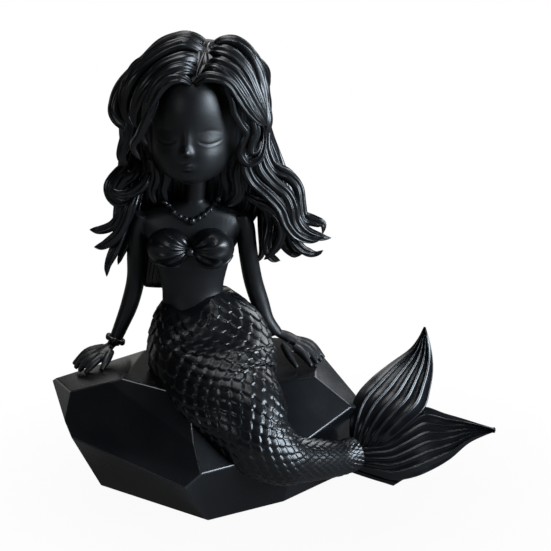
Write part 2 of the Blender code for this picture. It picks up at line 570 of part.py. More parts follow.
def chest_front(x, z):
    """The y of the front of the torso at x and z, in metres."""
    stations = metres(TORSO)
    for high, low in zip(stations, stations[1:]):
        if high[0] >= z >= low[0]:
            share = (high[0] - z) / (high[0] - low[0])
            _, middle_x, middle_y, half_width, half_depth = (
                a + (b - a) * share for a, b in zip(high, low)
            )
            across = min(abs(x - middle_x) / half_width, 0.98)
            return middle_y - half_depth * math.sqrt(1 - across ** 2)
    return metres(NECK)[1][1] - NECK_RADIUS * 0.8


def make_arm(name, arm, palm, fingers):
    """An arm down to its wrist, a flat palm and five tapered fingers."""
    tube(f"{name} arm", metres(arm), ARM_SIDES, 8)
    palm = [(*point, width) for point, width in zip(
        metres(palm), (PALM_HALF_WIDTH * 0.62, PALM_HALF_WIDTH, PALM_HALF_WIDTH)
    )]
    tube(f"{name} palm", palm, 8, 3, PALM_HALF_THICKNESS / PALM_HALF_WIDTH, (0, 1, 0))
    for count, finger in enumerate(fingers, 1):
        radii = (FINGER_RADIUS, FINGER_RADIUS * 1.05, FINGER_RADIUS * 0.6)
        finger = [(*point, radius) for point, radius in zip(metres(finger), radii)]
        tube(f"{name} finger {count}", finger, 6, 3)


def make_cup(name, centre, towards_knot):
    """A half dome with ribs that fan out from the knot, and a round rim below it."""
    x, y, z = centre
    columns = CUP_RIBS * 2
    rows = 6
    mesh = bmesh.new()
    fan = []
    for column in range(columns + 1):
        angle = math.radians(-84 + 168 * column / columns)
        reach = 2 * math.cos(angle)
        line = []
        for row in range(rows + 1):
            share = reach * row / rows
            across = towards_knot * (1 - share * math.cos(angle))
            up = share * math.sin(angle)
            inside = max(0.0, 1 - across ** 2 - up ** 2)
            rib = CUP_RIB_DEPTH * math.sin(math.pi * row / rows) * (1 if column % 2 else -1)
            line.append(mesh.verts.new((
                x + across * CUP_HALF_WIDTH,
                y - CUP_DEPTH * inside ** 0.5 - rib,
                z + up * CUP_HALF_HEIGHT,
            )))
        fan.append(line)
    for one, two in zip(fan, fan[1:]):
        for here in range(rows):
            mesh.faces.new((one[here], one[here + 1], two[here + 1], two[here]))
    bmesh.ops.remove_doubles(mesh, verts=mesh.verts, dist=1e-6)
    rim = [edge for edge in mesh.edges if edge.is_boundary]
    pushed = bmesh.ops.extrude_edge_only(mesh, edges=rim)["geom"]
    back = [item for item in pushed if isinstance(item, bmesh.types.BMVert)]
    for vertex in back:
        vertex.co.y += 4 * MM
        vertex.co.x = x + (vertex.co.x - x) * 0.7
        vertex.co.z = z + (vertex.co.z - z) * 0.7
    edges = [item for item in pushed if isinstance(item, bmesh.types.BMEdge)]
    bmesh.ops.contextual_create(mesh, geom=edges)
    keep(name, mesh)
    rim_path = []
    start = -150 if towards_knot > 0 else -30
    for step in range(9):
        angle = math.radians(start + towards_knot * 150 * step / 8)
        rim_path.append((
            x + CUP_HALF_WIDTH * math.cos(angle),
            y - 0.6 * MM,
            z + CUP_HALF_HEIGHT * math.sin(angle),
            CUP_RIM_RADIUS,
        ))
    return rim_path


def make_bra():
    """Both cups, their lower rims and the knot between them."""
    for name, centre, towards_knot in (
        ("left cup", CUP_CENTRES[0], 1), ("right cup", CUP_CENTRES[1], -1)
    ):
        rim = make_cup(name, metres([centre])[0], towards_knot)
        tube(f"{name} rim", rim, 5, 9, first_side=(0, 1, 0))
    ball("bra knot", metres([KNOT_CENTRE])[0], KNOT_RADIUS)


def make_jewellery():
    """Beads sunk a little into the chest, a pendant and a bangle on her wrist."""
    for count, (x, z) in enumerate(metres(NECKLACE), 1):
        centre = (x, chest_front(x, z) - BEAD_RADIUS * 0.2, z)
        ball(f"bead {count}", centre, BEAD_RADIUS, 6)
    x, z = metres([PENDANT])[0]
    ball("pendant", (x, chest_front(x, z) - PENDANT_RADIUS * 0.3, z), PENDANT_RADIUS)
    centre = Vector(metres([BANGLE_CENTRE])[0])
    wrist = metres(ARM_LEFT)
    along = (Vector(wrist[-1][:3]) - Vector(wrist[-2][:3])).normalized()
    side = along.cross(Vector((0, 1, 0))).normalized()
    out = along.cross(side)
    rings = []
    for turn in range(12):
        angle = 2 * math.pi * turn / 12
        outward = side * math.cos(angle) + out * math.sin(angle)
        rings.append([
            centre + outward * (BANGLE_RADIUS + BANGLE_WIRE * math.cos(around))
            + along * BANGLE_WIRE * math.sin(around)
            for around in (2 * math.pi * corner / 5 for corner in range(5))
        ])
    mesh = bmesh.new()
    loops = [[mesh.verts.new(point) for point in ring] for ring in rings]
    for one, two in zip(loops, loops[1:] + loops[:1]):
        for here in range(5):
            after = (here + 1) % 5
            mesh.faces.new((one[here], one[after], two[after], two[here]))
    keep("bangle", mesh)


def tail_sections(count):
    """Middle, half width, half depth and directions of sections down the tail."""
    path = smooth_path(metres(TAIL), count)
    frame = directions(path, (1.0, 0.0, 0.0), LEVEL_SHARE)
    travelled = []
    for (*place, half_width, half_depth), (_, side, out) in zip(path, frame):
        middle = Vector(place)
        across = half_width * side.dot(TAIL_FRONT)
        up = half_depth * out.dot(TAIL_FRONT)
        reach = (side * half_width * across + out * half_depth * up) / math.hypot(across, up)
        front = middle + reach
        if travelled:
            step = FRONT_SHARE * (front - front_before).length
            step += (1 - FRONT_SHARE) * (middle - middle_before).length
            travelled.append(travelled[-1] + step / half_width ** 0.5)
        else:
            travelled.append(0.0)
        middle_before = middle
        front_before = front
    sections = []
    at = 0
    for row in range(count + 1):
        wanted = travelled[-1] * row / count
        while at < count - 1 and travelled[at + 1] < wanted:
            at += 1
        share = (wanted - travelled[at]) / (travelled[at + 1] - travelled[at])
        x, y, z, half_width, half_depth = (
            a + (b - a) * share for a, b in zip(path[at], path[at + 1])
        )
        turned = [one.lerp(two, share).normalized() for one, two in zip(frame[at], frame[at + 1])]
        sections.append((Vector((x, y, z)), half_width, half_depth, *turned))
    return sections


def waist_drop(angle, row):
    """How many rows lower the scales lie, by their angle round the tail from her right."""
    left = -math.cos(angle)
    front = max(0.0, math.sin(angle))
    point = max(0.0, 1 - 1.6 * abs(left - WAIST_POINT_LEFT))
    drop = WAIST_DROP + WAIST_TILT * left + WAIST_POINT * front * point
    return max(0.0, drop) * max(0.0, 1 - row / WAIST_FADE_ROWS)


def make_tail():
    """The tail with a lattice of scales, each one's tip lying over the next rows."""
    rows = SCALE_ROWS
    columns = SCALE_COLUMNS
    sections = tail_sections(rows * STEPS_PER_ROW)
    lift = {"top": 0.0, "side": 0.5, "tip": 1.0}
    mesh = bmesh.new()
    lattice = []
    for row in range(rows + 1):
        points = []
        for column in range(columns):
            angle = 2 * math.pi * (column + 0.5 * (row % 2)) / columns
            place = round((row + waist_drop(angle, row)) * STEPS_PER_ROW)
            middle, half_width, half_depth, _, side, out = sections[place]
            size = SCALE_LIFT * (0.55 + 0.45 * half_width / (20 * MM))
            spot = side * math.cos(angle) * half_width + out * math.sin(angle) * half_depth
            outward = side * math.cos(angle) / half_width + out * math.sin(angle) / half_depth
            outward.normalize()
            points.append({
                edge: mesh.verts.new(
                    middle + spot + outward * size * (height if 1 < row < rows - 1 else 0.5)
                )
                for edge, height in lift.items()
            })
        lattice.append(points)
    for row in range(rows):
        for column in range(columns):
            top = lattice[row][column]
            left_column = column if row % 2 else column - 1
            left = lattice[row + 1][left_column % columns]
            right = lattice[row + 1][(left_column + 1) % columns]
            if row == 0:
                after = lattice[0][(column + 1) % columns]
                mesh.faces.new((top["side"], right["side"], after["side"]))
            if row == rows - 1:
                mesh.faces.new((top["side"], left["side"], right["side"]))
                continue
            tip = lattice[row + 2][column]
            mesh.faces.new((top["top"], left["side"], tip["tip"]))
            mesh.faces.new((top["top"], tip["tip"], right["side"]))
            mesh.faces.new((left["side"], left["top"], tip["side"], tip["tip"]))
            mesh.faces.new((right["side"], tip["tip"], tip["side"], right["top"]))
    for row, inner in ((0, WAIST_CONE_ROW), (rows, rows - 1)):
        middle = mesh.verts.new(sections[inner * STEPS_PER_ROW][0])
        for column in range(columns):
            here = lattice[row][column]["side"]
            after = lattice[row][(column + 1) % columns]["side"]
            mesh.faces.new((here, after, middle))
    return keep("tail", mesh)


def make_fin(name, left_edge, right_edge, camber, spans, rays):
    """A leaf between two edges, bowed to the front, with a ridge along every ray."""
    left_path = smooth_path(metres(left_edge), spans)
    right_path = smooth_path(metres(right_edge), spans)
    rings = []
    for span in range(spans + 1):
        left = Vector(left_path[span])
        right = Vector(right_path[span])
        before = Vector(left_path[max(span - 1, 0)]) + Vector(right_path[max(span - 1, 0)])
        after = Vector(left_path[min(span + 1, spans)]) + Vector(right_path[min(span + 1, spans)])
        out = (right - left).cross(after - before).normalized()
        if out.y > 0:
            out.negate()
        front = []
        back = []
        for ray in range(rays + 1):
            share = ray / rays
            bow = math.sin(math.pi * share)
            middle = left.lerp(right, share) + out * camber * MM * bow * (1 - span / spans)
            ridge = RAY_HEIGHT if ray % 2 else 0.0
            thick = FIN_THICKNESS * (0.5 if 0 < ray < rays else 0.3)
            front.append(middle + out * (thick + ridge))
            back.append(middle - out * (thick + ridge))
        rings.append(front + back[::-1])
    return skin(name, rings)


def face_relief(x, z):
    """How far the face stands out at x from its middle and height z, in millimetres."""
    total = 0.0
    for _, middle, height, across, upright, relief in FACE_RELIEF:
        away = ((x - middle) / across) ** 2 + ((z - height) / upright) ** 2
        total += relief * math.exp(-away)
    return total


def make_head():
    """An egg-shaped head with closed eyes, nose and mouth in soft relief."""
    stations = [(0.0, 0.0, z, half_width, front, back) for z, half_width, front, back in HEAD]
    turn = Matrix.Rotation(HEAD_TURN, 4, "Z")
    pivot = Vector((HEAD_X, HEAD_MIDDLE_Y, 0.0))
    rings = []
    for _, _, z, half_width, front, back in smooth_path(stations, HEAD_RINGS):
        middle_y = min(HEAD_MIDDLE_Y, (front + back) / 2 + 3)
        ring = []
        for here in range(HEAD_SIDES):
            share = here / HEAD_SIDES
            angle = 2 * math.pi * share - 0.55 * math.sin(2 * math.pi * share)
            reach = middle_y - front if math.cos(angle) > 0 else back - middle_y
            x = half_width * math.sin(angle)
            y = middle_y - reach * math.cos(angle)
            if math.cos(angle) > 0:
                y -= face_relief(x, z) * math.cos(angle)
            spot = turn @ (Vector((x + HEAD_X, y, z)) - pivot) + pivot
            ring.append(spot * MM)
        rings.append(ring)
    return skin("head", rings)


def lock_frame(place, along, facing):
    """Width and outward directions of a lock that lies on the hair core."""
    middle_x, middle_y, highest = metres([HAIR_MIDDLE])[0]
    core = Vector((middle_x, middle_y, min(place.z, highest)))
    outward = (place - core).normalized() + Vector((0.0, -facing, 0.0))
    outward = (outward - along * outward.dot(along)).normalized()
    return along.cross(outward), outward


LOCK_SECTION = (
    (-1.0, 0.0), (-0.6, 0.72), (-0.15, 1.0), (0.25, 0.6), (0.6, 0.7), (1.0, 0.0), (0.0, -0.8),
)


def make_lock(name, half_width, half_thickness, facing, *points):
    """A lock of hair with two grooves, full in the middle and thin at its tip."""
    points = metres(points)
    spans = max(4, round(path_length(points) / LOCK_SPACING))
    path = smooth_path(points, spans)
    rings = []
    for count, (along, _, _) in enumerate(directions(path, (0.0, 0.0, 1.0))):
        place = Vector(path[count])
        side, outward = lock_frame(place, along, facing)
        share = count / spans
        full = min(1.0, 0.6 + 2.2 * share)
        if share > 0.5:
            full = 1 - 0.75 * ((share - 0.5) / 0.5) ** 2.2
        rings.append([
            place + (side * half_width * across + outward * half_thickness * up) * full * MM
            for across, up in LOCK_SECTION
        ])
    return skin(name, rings)


def core_station(z):
    """Middle x, half width, front y and back y of the hair core at height z, in millimetres."""
    for high, low in zip(HAIR_CORE, HAIR_CORE[1:]):
        if high[0] >= z >= low[0]:
            share = (high[0] - z) / (high[0] - low[0])
            return [a + (b - a) * share for a, b in zip(high[1:], low[1:])]
    return HAIR_CORE[-1][1:]


def make_hair():
    """A solid core, a mass beside each shoulder, locks on top and waves down the back."""
    rings = []
    for z, x, half_width, front, back in HAIR_CORE:
        middle_y = front + 0.45 * (back - front)
        rings.append([point * MM for point in level_ring(
            z, x, middle_y, half_width, front, back, HAIR_CORE_SIDES
        )])
    skin("hair core", rings)
    tube("hair right of her neck", metres(SIDE_MASS_RIGHT), 8, 6, 0.7)
    tube("hair left of her neck", metres(SIDE_MASS_LEFT), 8, 6, 0.8)
    for name, (half_width, half_thickness, facing, *points) in LOCKS.items():
        make_lock(name, half_width, half_thickness, facing, *points)
    for count in range(BACK_LOCKS):
        fan = -1 + 2 * count / (BACK_LOCKS - 1)
        root_x, root_y, root_z = BACK_LOCK_ROOT
        points = [(root_x - fan, root_y, root_z)]
        for step, z in enumerate(BACK_LOCK_HEIGHTS, 1):
            x, half_width, front, back = core_station(z)
            wave = BACK_LOCK_WAVE * math.sin(step * 1.5 + count)
            angle = 1.25 * fan
            middle_y = front + 0.45 * (back - front)
            points.append((
                x + half_width * math.sin(angle) * 0.97 + wave,
                middle_y + (back - middle_y) * math.cos(angle) * 0.97,
                z - BACK_LOCK_DROP * (1 - fan ** 2) * step / len(BACK_LOCK_HEIGHTS),
            ))
        make_lock(
            f"back lock {count + 1}", BACK_LOCK_HALF_WIDTH, BACK_LOCK_HALF_THICKNESS, 0.0, *points
        )


def resin():
    """Smooth near-black cast resin."""
    material = bpy.data.materials.new("black resin")
    material.use_nodes = True
    shader = material.node_tree.nodes["Principled BSDF"]
    shader.inputs["Base Color"].default_value = (0.030, 0.031, 0.034, 1.0)
    shader.inputs["Roughness"].default_value = 0.42
    return material


def evaluated(thing):
    """The object's mesh with its modifiers applied."""
    mesh = bmesh.new()
    mesh.from_object(thing, bpy.context.evaluated_depsgraph_get())
    return mesh


def unite():
    """Joins all parts and drops what the union sealed inside."""
    first = bpy.data.objects["rock"]
    parts.objects.unlink(first)
    casting.objects.link(first)
    union = first.modifiers.new("join all parts", "BOOLEAN")
    union.operation = "UNION"
    union.solver = "EXACT"
    union.operand_type = "COLLECTION"
    union.collection = parts
    union.use_self = True
    joined = evaluated(first)
    first.modifiers.clear()
    casting.objects.unlink(first)
    parts.objects.link(first)
    bmesh.ops.triangulate(joined, faces=joined.faces)
    drop_loose(joined)
    figurine = bpy.data.objects.new("figurine", bpy.data.meshes.new("figurine"))
    joined.to_mesh(figurine.data)
    joined.free()
    casting.objects.link(figurine)
    return figurine


def lighten(figurine):
    """Merges needless small triangles and stands the casting on the origin."""
    fewer = figurine.modifiers.new("merge small triangles", "DECIMATE")
    fewer.ratio = min(1.0, TRIANGLES / len(figurine.data.polygons))
    mesh = evaluated(figurine)
    figurine.modifiers.clear()
    low = Vector([min(v.co[axis] for v in mesh.verts) for axis in range(3)])
    high = Vector([max(v.co[axis] for v in mesh.verts) for axis in range(3)])
    shift = Vector((-(low.x + high.x) / 2, -(low.y + high.y) / 2, -low.z))
    bmesh.ops.translate(mesh, vec=shift, verts=mesh.verts)
    mesh.to_mesh(figurine.data)
    mesh.free()
    figurine.data.materials.append(resin())


def drop_loose(mesh):
    """Keeps only the skin that encloses the most, so nothing stays sealed inside."""
    unseen = set(mesh.faces)
    groups = []
    while unseen:
        front = [unseen.pop()]
        group = list(front)
        while front:
            for edge in front.pop().edges:
                for other in edge.link_faces:
                    if other in unseen:
                        unseen.discard(other)
                        front.append(other)
                        group.append(other)
        groups.append(group)
    groups.sort(key=len)
    spare = [face for group in groups[:-1] for face in group]
    bmesh.ops.delete(mesh, geom=spare, context="FACES")


for old in list(bpy.data.objects):
    bpy.data.objects.remove(old)

casting = bpy.data.collections.new("Mermaid figurine")
parts = bpy.data.collections.new("Parts to join")
parts.hide_render = True
bpy.context.scene.collection.children.link(casting)
bpy.context.scene.collection.children.link(parts)

make_rock()
make_torso()
make_arm("left", ARM_LEFT, PALM_LEFT, FINGERS_LEFT)
make_arm("right", ARM_RIGHT, PALM_RIGHT, FINGERS_RIGHT)
make_bra()
make_jewellery()
make_tail()
for fin_name, fin in FINS.items():
    make_fin(fin_name, *fin)
make_head()
make_hair()
lighten(unite())
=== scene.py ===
# %% [markdown]
# # A seated mermaid in black resin
#
# The real object is a desk ornament cast in one piece of near-black resin: a mermaid
# who sits on a faceted rock, leans on both hands and lays her tail over the edge.
# This lesson rebuilds its surface piece by piece over the solid model of the part.
#
# The first cell loads that solid. Every later piece stands in its frame, in metres,
# with +Z up, her face towards -Y and her tail fin towards +X. Left and right are
# always meant as the camera sees them.

# %% Load the frame
import math

import bmesh
import bpy
from mathutils import Matrix, Vector


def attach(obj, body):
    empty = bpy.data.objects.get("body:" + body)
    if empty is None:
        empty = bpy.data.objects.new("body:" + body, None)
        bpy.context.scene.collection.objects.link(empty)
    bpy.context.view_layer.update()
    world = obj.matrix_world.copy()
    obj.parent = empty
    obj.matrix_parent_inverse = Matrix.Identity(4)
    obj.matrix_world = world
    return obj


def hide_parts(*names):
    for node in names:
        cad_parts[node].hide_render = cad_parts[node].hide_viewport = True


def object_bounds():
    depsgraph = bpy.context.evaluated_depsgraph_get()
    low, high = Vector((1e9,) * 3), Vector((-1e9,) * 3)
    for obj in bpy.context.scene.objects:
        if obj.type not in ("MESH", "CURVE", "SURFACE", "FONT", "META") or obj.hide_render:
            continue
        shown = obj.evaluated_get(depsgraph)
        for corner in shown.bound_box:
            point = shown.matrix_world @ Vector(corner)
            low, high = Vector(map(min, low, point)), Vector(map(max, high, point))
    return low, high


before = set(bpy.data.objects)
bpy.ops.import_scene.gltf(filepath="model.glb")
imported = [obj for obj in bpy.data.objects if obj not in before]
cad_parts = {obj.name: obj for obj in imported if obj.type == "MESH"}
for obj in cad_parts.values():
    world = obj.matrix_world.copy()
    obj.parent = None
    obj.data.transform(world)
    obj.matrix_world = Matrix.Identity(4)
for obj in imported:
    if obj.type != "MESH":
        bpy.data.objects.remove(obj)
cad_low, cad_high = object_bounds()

MM = 0.001


def size_in_mm(low, high):
    """Width, depth and height between two corners, in millimetres."""
    return [round((b - a) / MM, 1) for a, b in zip(low, high)]


print("solid model:", size_in_mm(cad_low, cad_high), "mm")

# %% [markdown]
# ## The rock
#
# The rock is a convex block with large flat facets, like knapped stone. A sculpted
# mesh could copy it too, but planes are easier to steer: each facet is one cut, given
# by the heading and the rise of its outward direction and by its distance. The edges
# are rounded by a narrow bevel, as a mould leaves them.
#
# Sizes here and in all later tables are millimetres in the modelling frame. The rock
# reaches lowest in x and in y of all the casting, so the low corner of the solid's
# rock, whose edges are cut flat, shows where that frame stands.

# %% Rock facets
ROCK_CENTRE = Vector((-22.0, 0.0, 20.0))
ROCK_BLOCK = 300
ROCK_EDGE = 0.45
FLAT_ANGLE = 0.01
# Heading and rise of the outward direction in degrees, and distance from the centre.
ROCK_FACETS = {
    "underside left": (-128.3, -39.3, 33.7),
    "prow right": (-57.5, -19.0, 34.5),
    "prow far right": (-40.0, -17.8, 36.0),
    "left front": (-108.0, 36.1, 34.1),
    "front high": (-103.7, 42.1, 32.6),
    "top left": (184.8, 73.9, 29.7),
    "left tip": (-160.2, 22.6, 50.9),
    "left back low": (190.3, -22.8, 42.2),
    "left back": (125.6, 58.7, 30.0),
    "right front": (-60.1, 42.9, 27.3),
    "top right": (-51.0, 81.3, 21.6),
    "right chamfer": (-9.8, 53.0, 35.7),
    "back right": (41.9, -3.0, 39.5),
    "back": (96.0, 12.0, 27.0),
    "back low": (120.0, -28.0, 33.0),
}


def cut_rock():
    """The block with all its facets cut, in millimetres."""
    mesh = bmesh.new()
    bmesh.ops.create_cube(mesh, size=ROCK_BLOCK)
    cuts = [(Vector((0, 0, 0)), Vector((0, 0, -1)))]
    for heading, rise, distance in ROCK_FACETS.values():
        heading = math.radians(heading)
        rise = math.radians(rise)
        outward = Vector((
            math.cos(heading) * math.cos(rise),
            math.sin(heading) * math.cos(rise),
            math.sin(rise),
        ))
        cuts.append((ROCK_CENTRE + outward * distance, outward))
    for place, outward in cuts:
        everything = [*mesh.verts, *mesh.edges, *mesh.faces]
        cut = bmesh.ops.bisect_plane(
            mesh, geom=everything, plane_co=place, plane_no=outward, clear_outer=True
        )
        rim = [item for item in cut["geom_cut"] if isinstance(item, bmesh.types.BMEdge)]
        if rim:
            bmesh.ops.contextual_create(mesh, geom=rim)
    bmesh.ops.dissolve_limit(mesh, angle_limit=FLAT_ANGLE, verts=mesh.verts, edges=mesh.edges)
    bmesh.ops.recalc_face_normals(mesh, faces=mesh.faces)
    return mesh


worn = cut_rock()
bmesh.ops.bevel(worn, geom=[*worn.edges], offset=ROCK_EDGE, segments=1, affect="EDGES")
rock_low = Vector([min(v.co[axis] for v in worn.verts) for axis in range(3)])
worn.free()
OFFSET = cad_low - rock_low * MM
print("modelling frame stands at", [round(c / MM, 2) for c in OFFSET], "mm")

# %% [markdown]
# ## The resin
#
# The casting has one material: resin dyed black all through, with a satin skin. It
# isn't one flat black, though. Its sheen varies in soft patches, its sharpest edges are paler,
# partly from wear and partly as a painted highlight, and a fine grain from the mould breaks up
# highlights.
#
# A plain glossy black would hide all of this and look like wet plastic. One shader
# node group makes the three effects, with values as sockets. The rock, the skin, the
# scales, the hair, the fin and the trim each place it with their own numbers, since a
# broad facet shows more grain than a thin lock does. The Principled BSDF stays in each
# material, where the export can read it.

# %% Sockets of the resin finish
RESIN_BLACK = (0.003, 0.0034, 0.0042, 1)
# Grey that sharp edges pale towards: partly wear, partly a painted highlight.
WORN_AND_HIGHLIT_GREY = (0.13, 0.137, 0.15, 1)
FINISH_INPUTS = (
    ("Resin", "NodeSocketColor", RESIN_BLACK),
    ("Worn And Highlit", "NodeSocketColor", WORN_AND_HIGHLIT_GREY),
    ("Edge Wear And Highlight", "NodeSocketFloat", 0.5),
    ("Sheen Low", "NodeSocketFloat", 0.28),
    ("Sheen High", "NodeSocketFloat", 0.42),
    ("Patch Scale", "NodeSocketFloat", 60.0),
    ("Grain Scale", "NodeSocketFloat", 1800.0),
    ("Grain", "NodeSocketFloat", 0.5),
)
FINISH_OUTPUTS = (
    ("Color", "NodeSocketColor"),
    ("Roughness", "NodeSocketFloat"),
    ("Height", "NodeSocketFloat"),
)

resin_finish = bpy.data.node_groups.new("resin finish", "ShaderNodeTree")
for name, kind, value in FINISH_INPUTS:
    socket = resin_finish.interface.new_socket(name=name, in_out="INPUT", socket_type=kind)
    socket.default_value = value
for name, kind in FINISH_OUTPUTS:
    resin_finish.interface.new_socket(name=name, in_out="OUTPUT", socket_type=kind)
print("group", resin_finish.name, "with", len(FINISH_INPUTS), "inputs")

# %% Nodes of the resin finish
EDGE_POINTINESS = (0.52, 0.68)
SHEEN_PATCHES = (0.35, 0.65)
# A Mix node has its colour sockets behind others of the same names, so they go by number.
MIX_FIRST, MIX_SECOND, MIX_RESULT = 6, 7, 2


def noise(tree, place, scale, detail):
    """A noise texture; place and scale are sockets. Returns its grey value."""
    node = tree.nodes.new("ShaderNodeTexNoise")
    node.inputs["Detail"].default_value = detail
    tree.links.new(place, node.inputs["Vector"])
    tree.links.new(scale, node.inputs["Scale"])
    return node.outputs["Fac"]


def product(tree, first, second, clamped=False):
    """The product of two values."""
    node = tree.nodes.new("ShaderNodeMath")
    node.operation = "MULTIPLY"
    node.use_clamp = clamped
    tree.links.new(first, node.inputs[0])
    tree.links.new(second, node.inputs[1])
    return node.outputs[0]


def map_range(tree, value, start, end):
    """A Map Range node that takes start to its To Min and end to its To Max."""
    node = tree.nodes.new("ShaderNodeMapRange")
    node.inputs["From Min"].default_value = start
    node.inputs["From Max"].default_value = end
    tree.links.new(value, node.inputs["Value"])
    return node


def fill_resin_finish(tree):
    """Colour, roughness and height of satin resin; edges pale by wear and a painted highlight."""
    given = tree.nodes.new("NodeGroupInput").outputs
    result = tree.nodes.new("NodeGroupOutput").inputs
    place = tree.nodes.new("ShaderNodeTexCoord").outputs["Object"]
    patches = noise(tree, place, given["Patch Scale"], detail=4)
    grain = noise(tree, place, given["Grain Scale"], detail=3)
    pointiness = tree.nodes.new("ShaderNodeNewGeometry").outputs["Pointiness"]
    edges = map_range(tree, pointiness, *EDGE_POINTINESS).outputs["Result"]
    # Sharp edges pale towards that grey, partly as wear and partly as a painted highlight.
    edge_wear_and_highlight = product(tree, product(tree, edges, patches), given["Edge Wear And Highlight"], clamped=True)
    colour = tree.nodes.new("ShaderNodeMix")
    colour.data_type = "RGBA"
    tree.links.new(edge_wear_and_highlight, colour.inputs["Factor"])
    tree.links.new(given["Resin"], colour.inputs[MIX_FIRST])
    tree.links.new(given["Worn And Highlit"], colour.inputs[MIX_SECOND])
    sheen = map_range(tree, patches, *SHEEN_PATCHES)
    tree.links.new(given["Sheen Low"], sheen.inputs["To Min"])
    tree.links.new(given["Sheen High"], sheen.inputs["To Max"])
    tree.links.new(colour.outputs[MIX_RESULT], result["Color"])
    tree.links.new(sheen.outputs["Result"], result["Roughness"])
    tree.links.new(product(tree, grain, given["Grain"]), result["Height"])


fill_resin_finish(resin_finish)
print("it holds", len(resin_finish.nodes), "nodes")

# %% One resin material for each kind of surface
GRAIN_HEIGHT = 0.04 * MM
FINE_GRAIN_HEIGHT = 0.015 * MM


def resin(name, patches, sheen, edge_wear_and_highlight, grain=1800.0, grain_height=GRAIN_HEIGHT):
    """A material that wraps the finish group; sheen is its lowest and highest roughness."""
    material = bpy.data.materials.new(name)
    material.use_nodes = True
    tree = material.node_tree
    shader = tree.nodes["Principled BSDF"]
    finish = tree.nodes.new("ShaderNodeGroup")
    finish.node_tree = resin_finish
    finish.inputs["Patch Scale"].default_value = patches
    finish.inputs["Sheen Low"].default_value = sheen[0]
    finish.inputs["Sheen High"].default_value = sheen[1]
    finish.inputs["Edge Wear And Highlight"].default_value = edge_wear_and_highlight
    finish.inputs["Grain Scale"].default_value = grain
    relief = tree.nodes.new("ShaderNodeBump")
    relief.inputs["Distance"].default_value = grain_height
    tree.links.new(finish.outputs["Color"], shader.inputs["Base Color"])
    tree.links.new(finish.outputs["Roughness"], shader.inputs["Roughness"])
    tree.links.new(finish.outputs["Height"], relief.inputs["Height"])
    tree.links.new(relief.outputs["Normal"], shader.inputs["Normal"])
    print("material", name, "with roughness", sheen)
    return material


# Sharp edges pale partly from wear and partly as a painted highlight; the rock's edges pale most.
rock_resin = resin("rock resin", 35.0, (0.20, 0.30), edge_wear_and_highlight=2.4, grain=1200.0)
skin_resin = resin("skin resin", 90.0, (0.40, 0.48), edge_wear_and_highlight=0.3)
scale_resin = resin("scale resin", 150.0, (0.24, 0.34), edge_wear_and_highlight=0.7)
hair_resin = resin("hair resin", 120.0, (0.25, 0.36), edge_wear_and_highlight=0.55, grain_height=FINE_GRAIN_HEIGHT)
fin_resin = resin("fin resin", 120.0, (0.18, 0.25), edge_wear_and_highlight=0.45, grain_height=FINE_GRAIN_HEIGHT)
trim_resin = resin("trim resin", 200.0, (0.27, 0.36), edge_wear_and_highlight=0.6)

# %% Rock piece
ROCK_ROUNDING = 0.55


def piece(name, points, faces, material):
    """A smooth mesh object that rides on the casting and stands for its solid."""
    data = bpy.data.meshes.new(name)
    data.from_pydata([Vector(point) * MM + OFFSET for point in points], [], faces)
    data.shade_smooth()
    data.materials.append(material)
    made = bpy.data.objects.new(name, data)
    bpy.context.scene.collection.objects.link(made)
    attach(made, "root")
    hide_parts("figurine")
    print(name, len(data.polygons), "faces")
    return made


def in_order(mesh):
    """Points and faces of a bmesh, sorted, because cutting leaves them in a chance order.

    A face starts at its first corner in that order, and a quad at one that keeps its
    diagonal.
    """
    corners = sorted(mesh.verts, key=lambda corner: tuple(round(c, 3) for c in corner.co))
    number = {corner: count for count, corner in enumerate(corners)}
    faces = []
    for face in mesh.faces:
        loop = [number[corner] for corner in face.verts]
        starts = range(0, len(loop), 2 if len(loop) == 4 else 1)
        start = min(starts, key=loop.__getitem__)
        faces.append(tuple(loop[start:] + loop[:start]))
    return [tuple(corner.co) for corner in corners], sorted(faces)


rounded = cut_rock()
bmesh.ops.bevel(
    rounded, geom=[*rounded.edges], offset=ROCK_ROUNDING, segments=3, profile=0.6, affect="EDGES"
)
bmesh.ops.triangulate(rounded, faces=[face for face in rounded.faces if len(face.verts) > 4])
rock = piece("rock", *in_order(rounded), rock_resin)
rounded.free()
weighted = rock.modifiers.new("flat facets", "WEIGHTED_NORMAL")
weighted.weight = 100

# %% [markdown]
# ## Curves and lofts
#
# All the rest of the figure is made of lofts: rings of points set along a smooth curve.
# A Bezier curve object with a bevel could do some of them, but a loft can change its
# width, its thickness and its ridges at every ring, which hair and a tail need.
#
# A path is sampled at even steps, and the extra numbers of its points, such as a
# radius, are blended with the places. `Store` gathers the vertices and faces of many
# lofts, so that dozens of locks become one mesh.

# %% Smooth paths
CURVE_STEPS = 12


def smooth_path(points, spans):
    """Evenly spaced samples of a smooth curve through points; extra numbers blend alike."""
    ends = [points[0], *points, points[-1]]
    fine = []
    for a, b, c, d in zip(ends, ends[1:], ends[2:], ends[3:]):
        for step in range(CURVE_STEPS):
            t = step / CURVE_STEPS
            fine.append(tuple(
                0.5 * (2 * q + (r - p) * t + (2 * p - 5 * q + 4 * r - s) * t ** 2
                       + (3 * q - p - 3 * r + s) * t ** 3)
                for p, q, r, s in zip(a, b, c, d)
            ))
    fine.append(tuple(points[-1]))
    travelled = [0.0]
    for a, b in zip(fine, fine[1:]):
        travelled.append(travelled[-1] + math.dist(a[:3], b[:3]))
    samples = []
    at = 0
    for span in range(spans + 1):
        wanted = travelled[-1] * span / spans
        while at < len(fine) - 2 and travelled[at + 1] < wanted:
            at += 1
        step = max(travelled[at + 1] - travelled[at], 1e-9)
        share = (wanted - travelled[at]) / step
        samples.append(tuple(p + (q - p) * share for p, q in zip(fine[at], fine[at + 1])))
    return samples


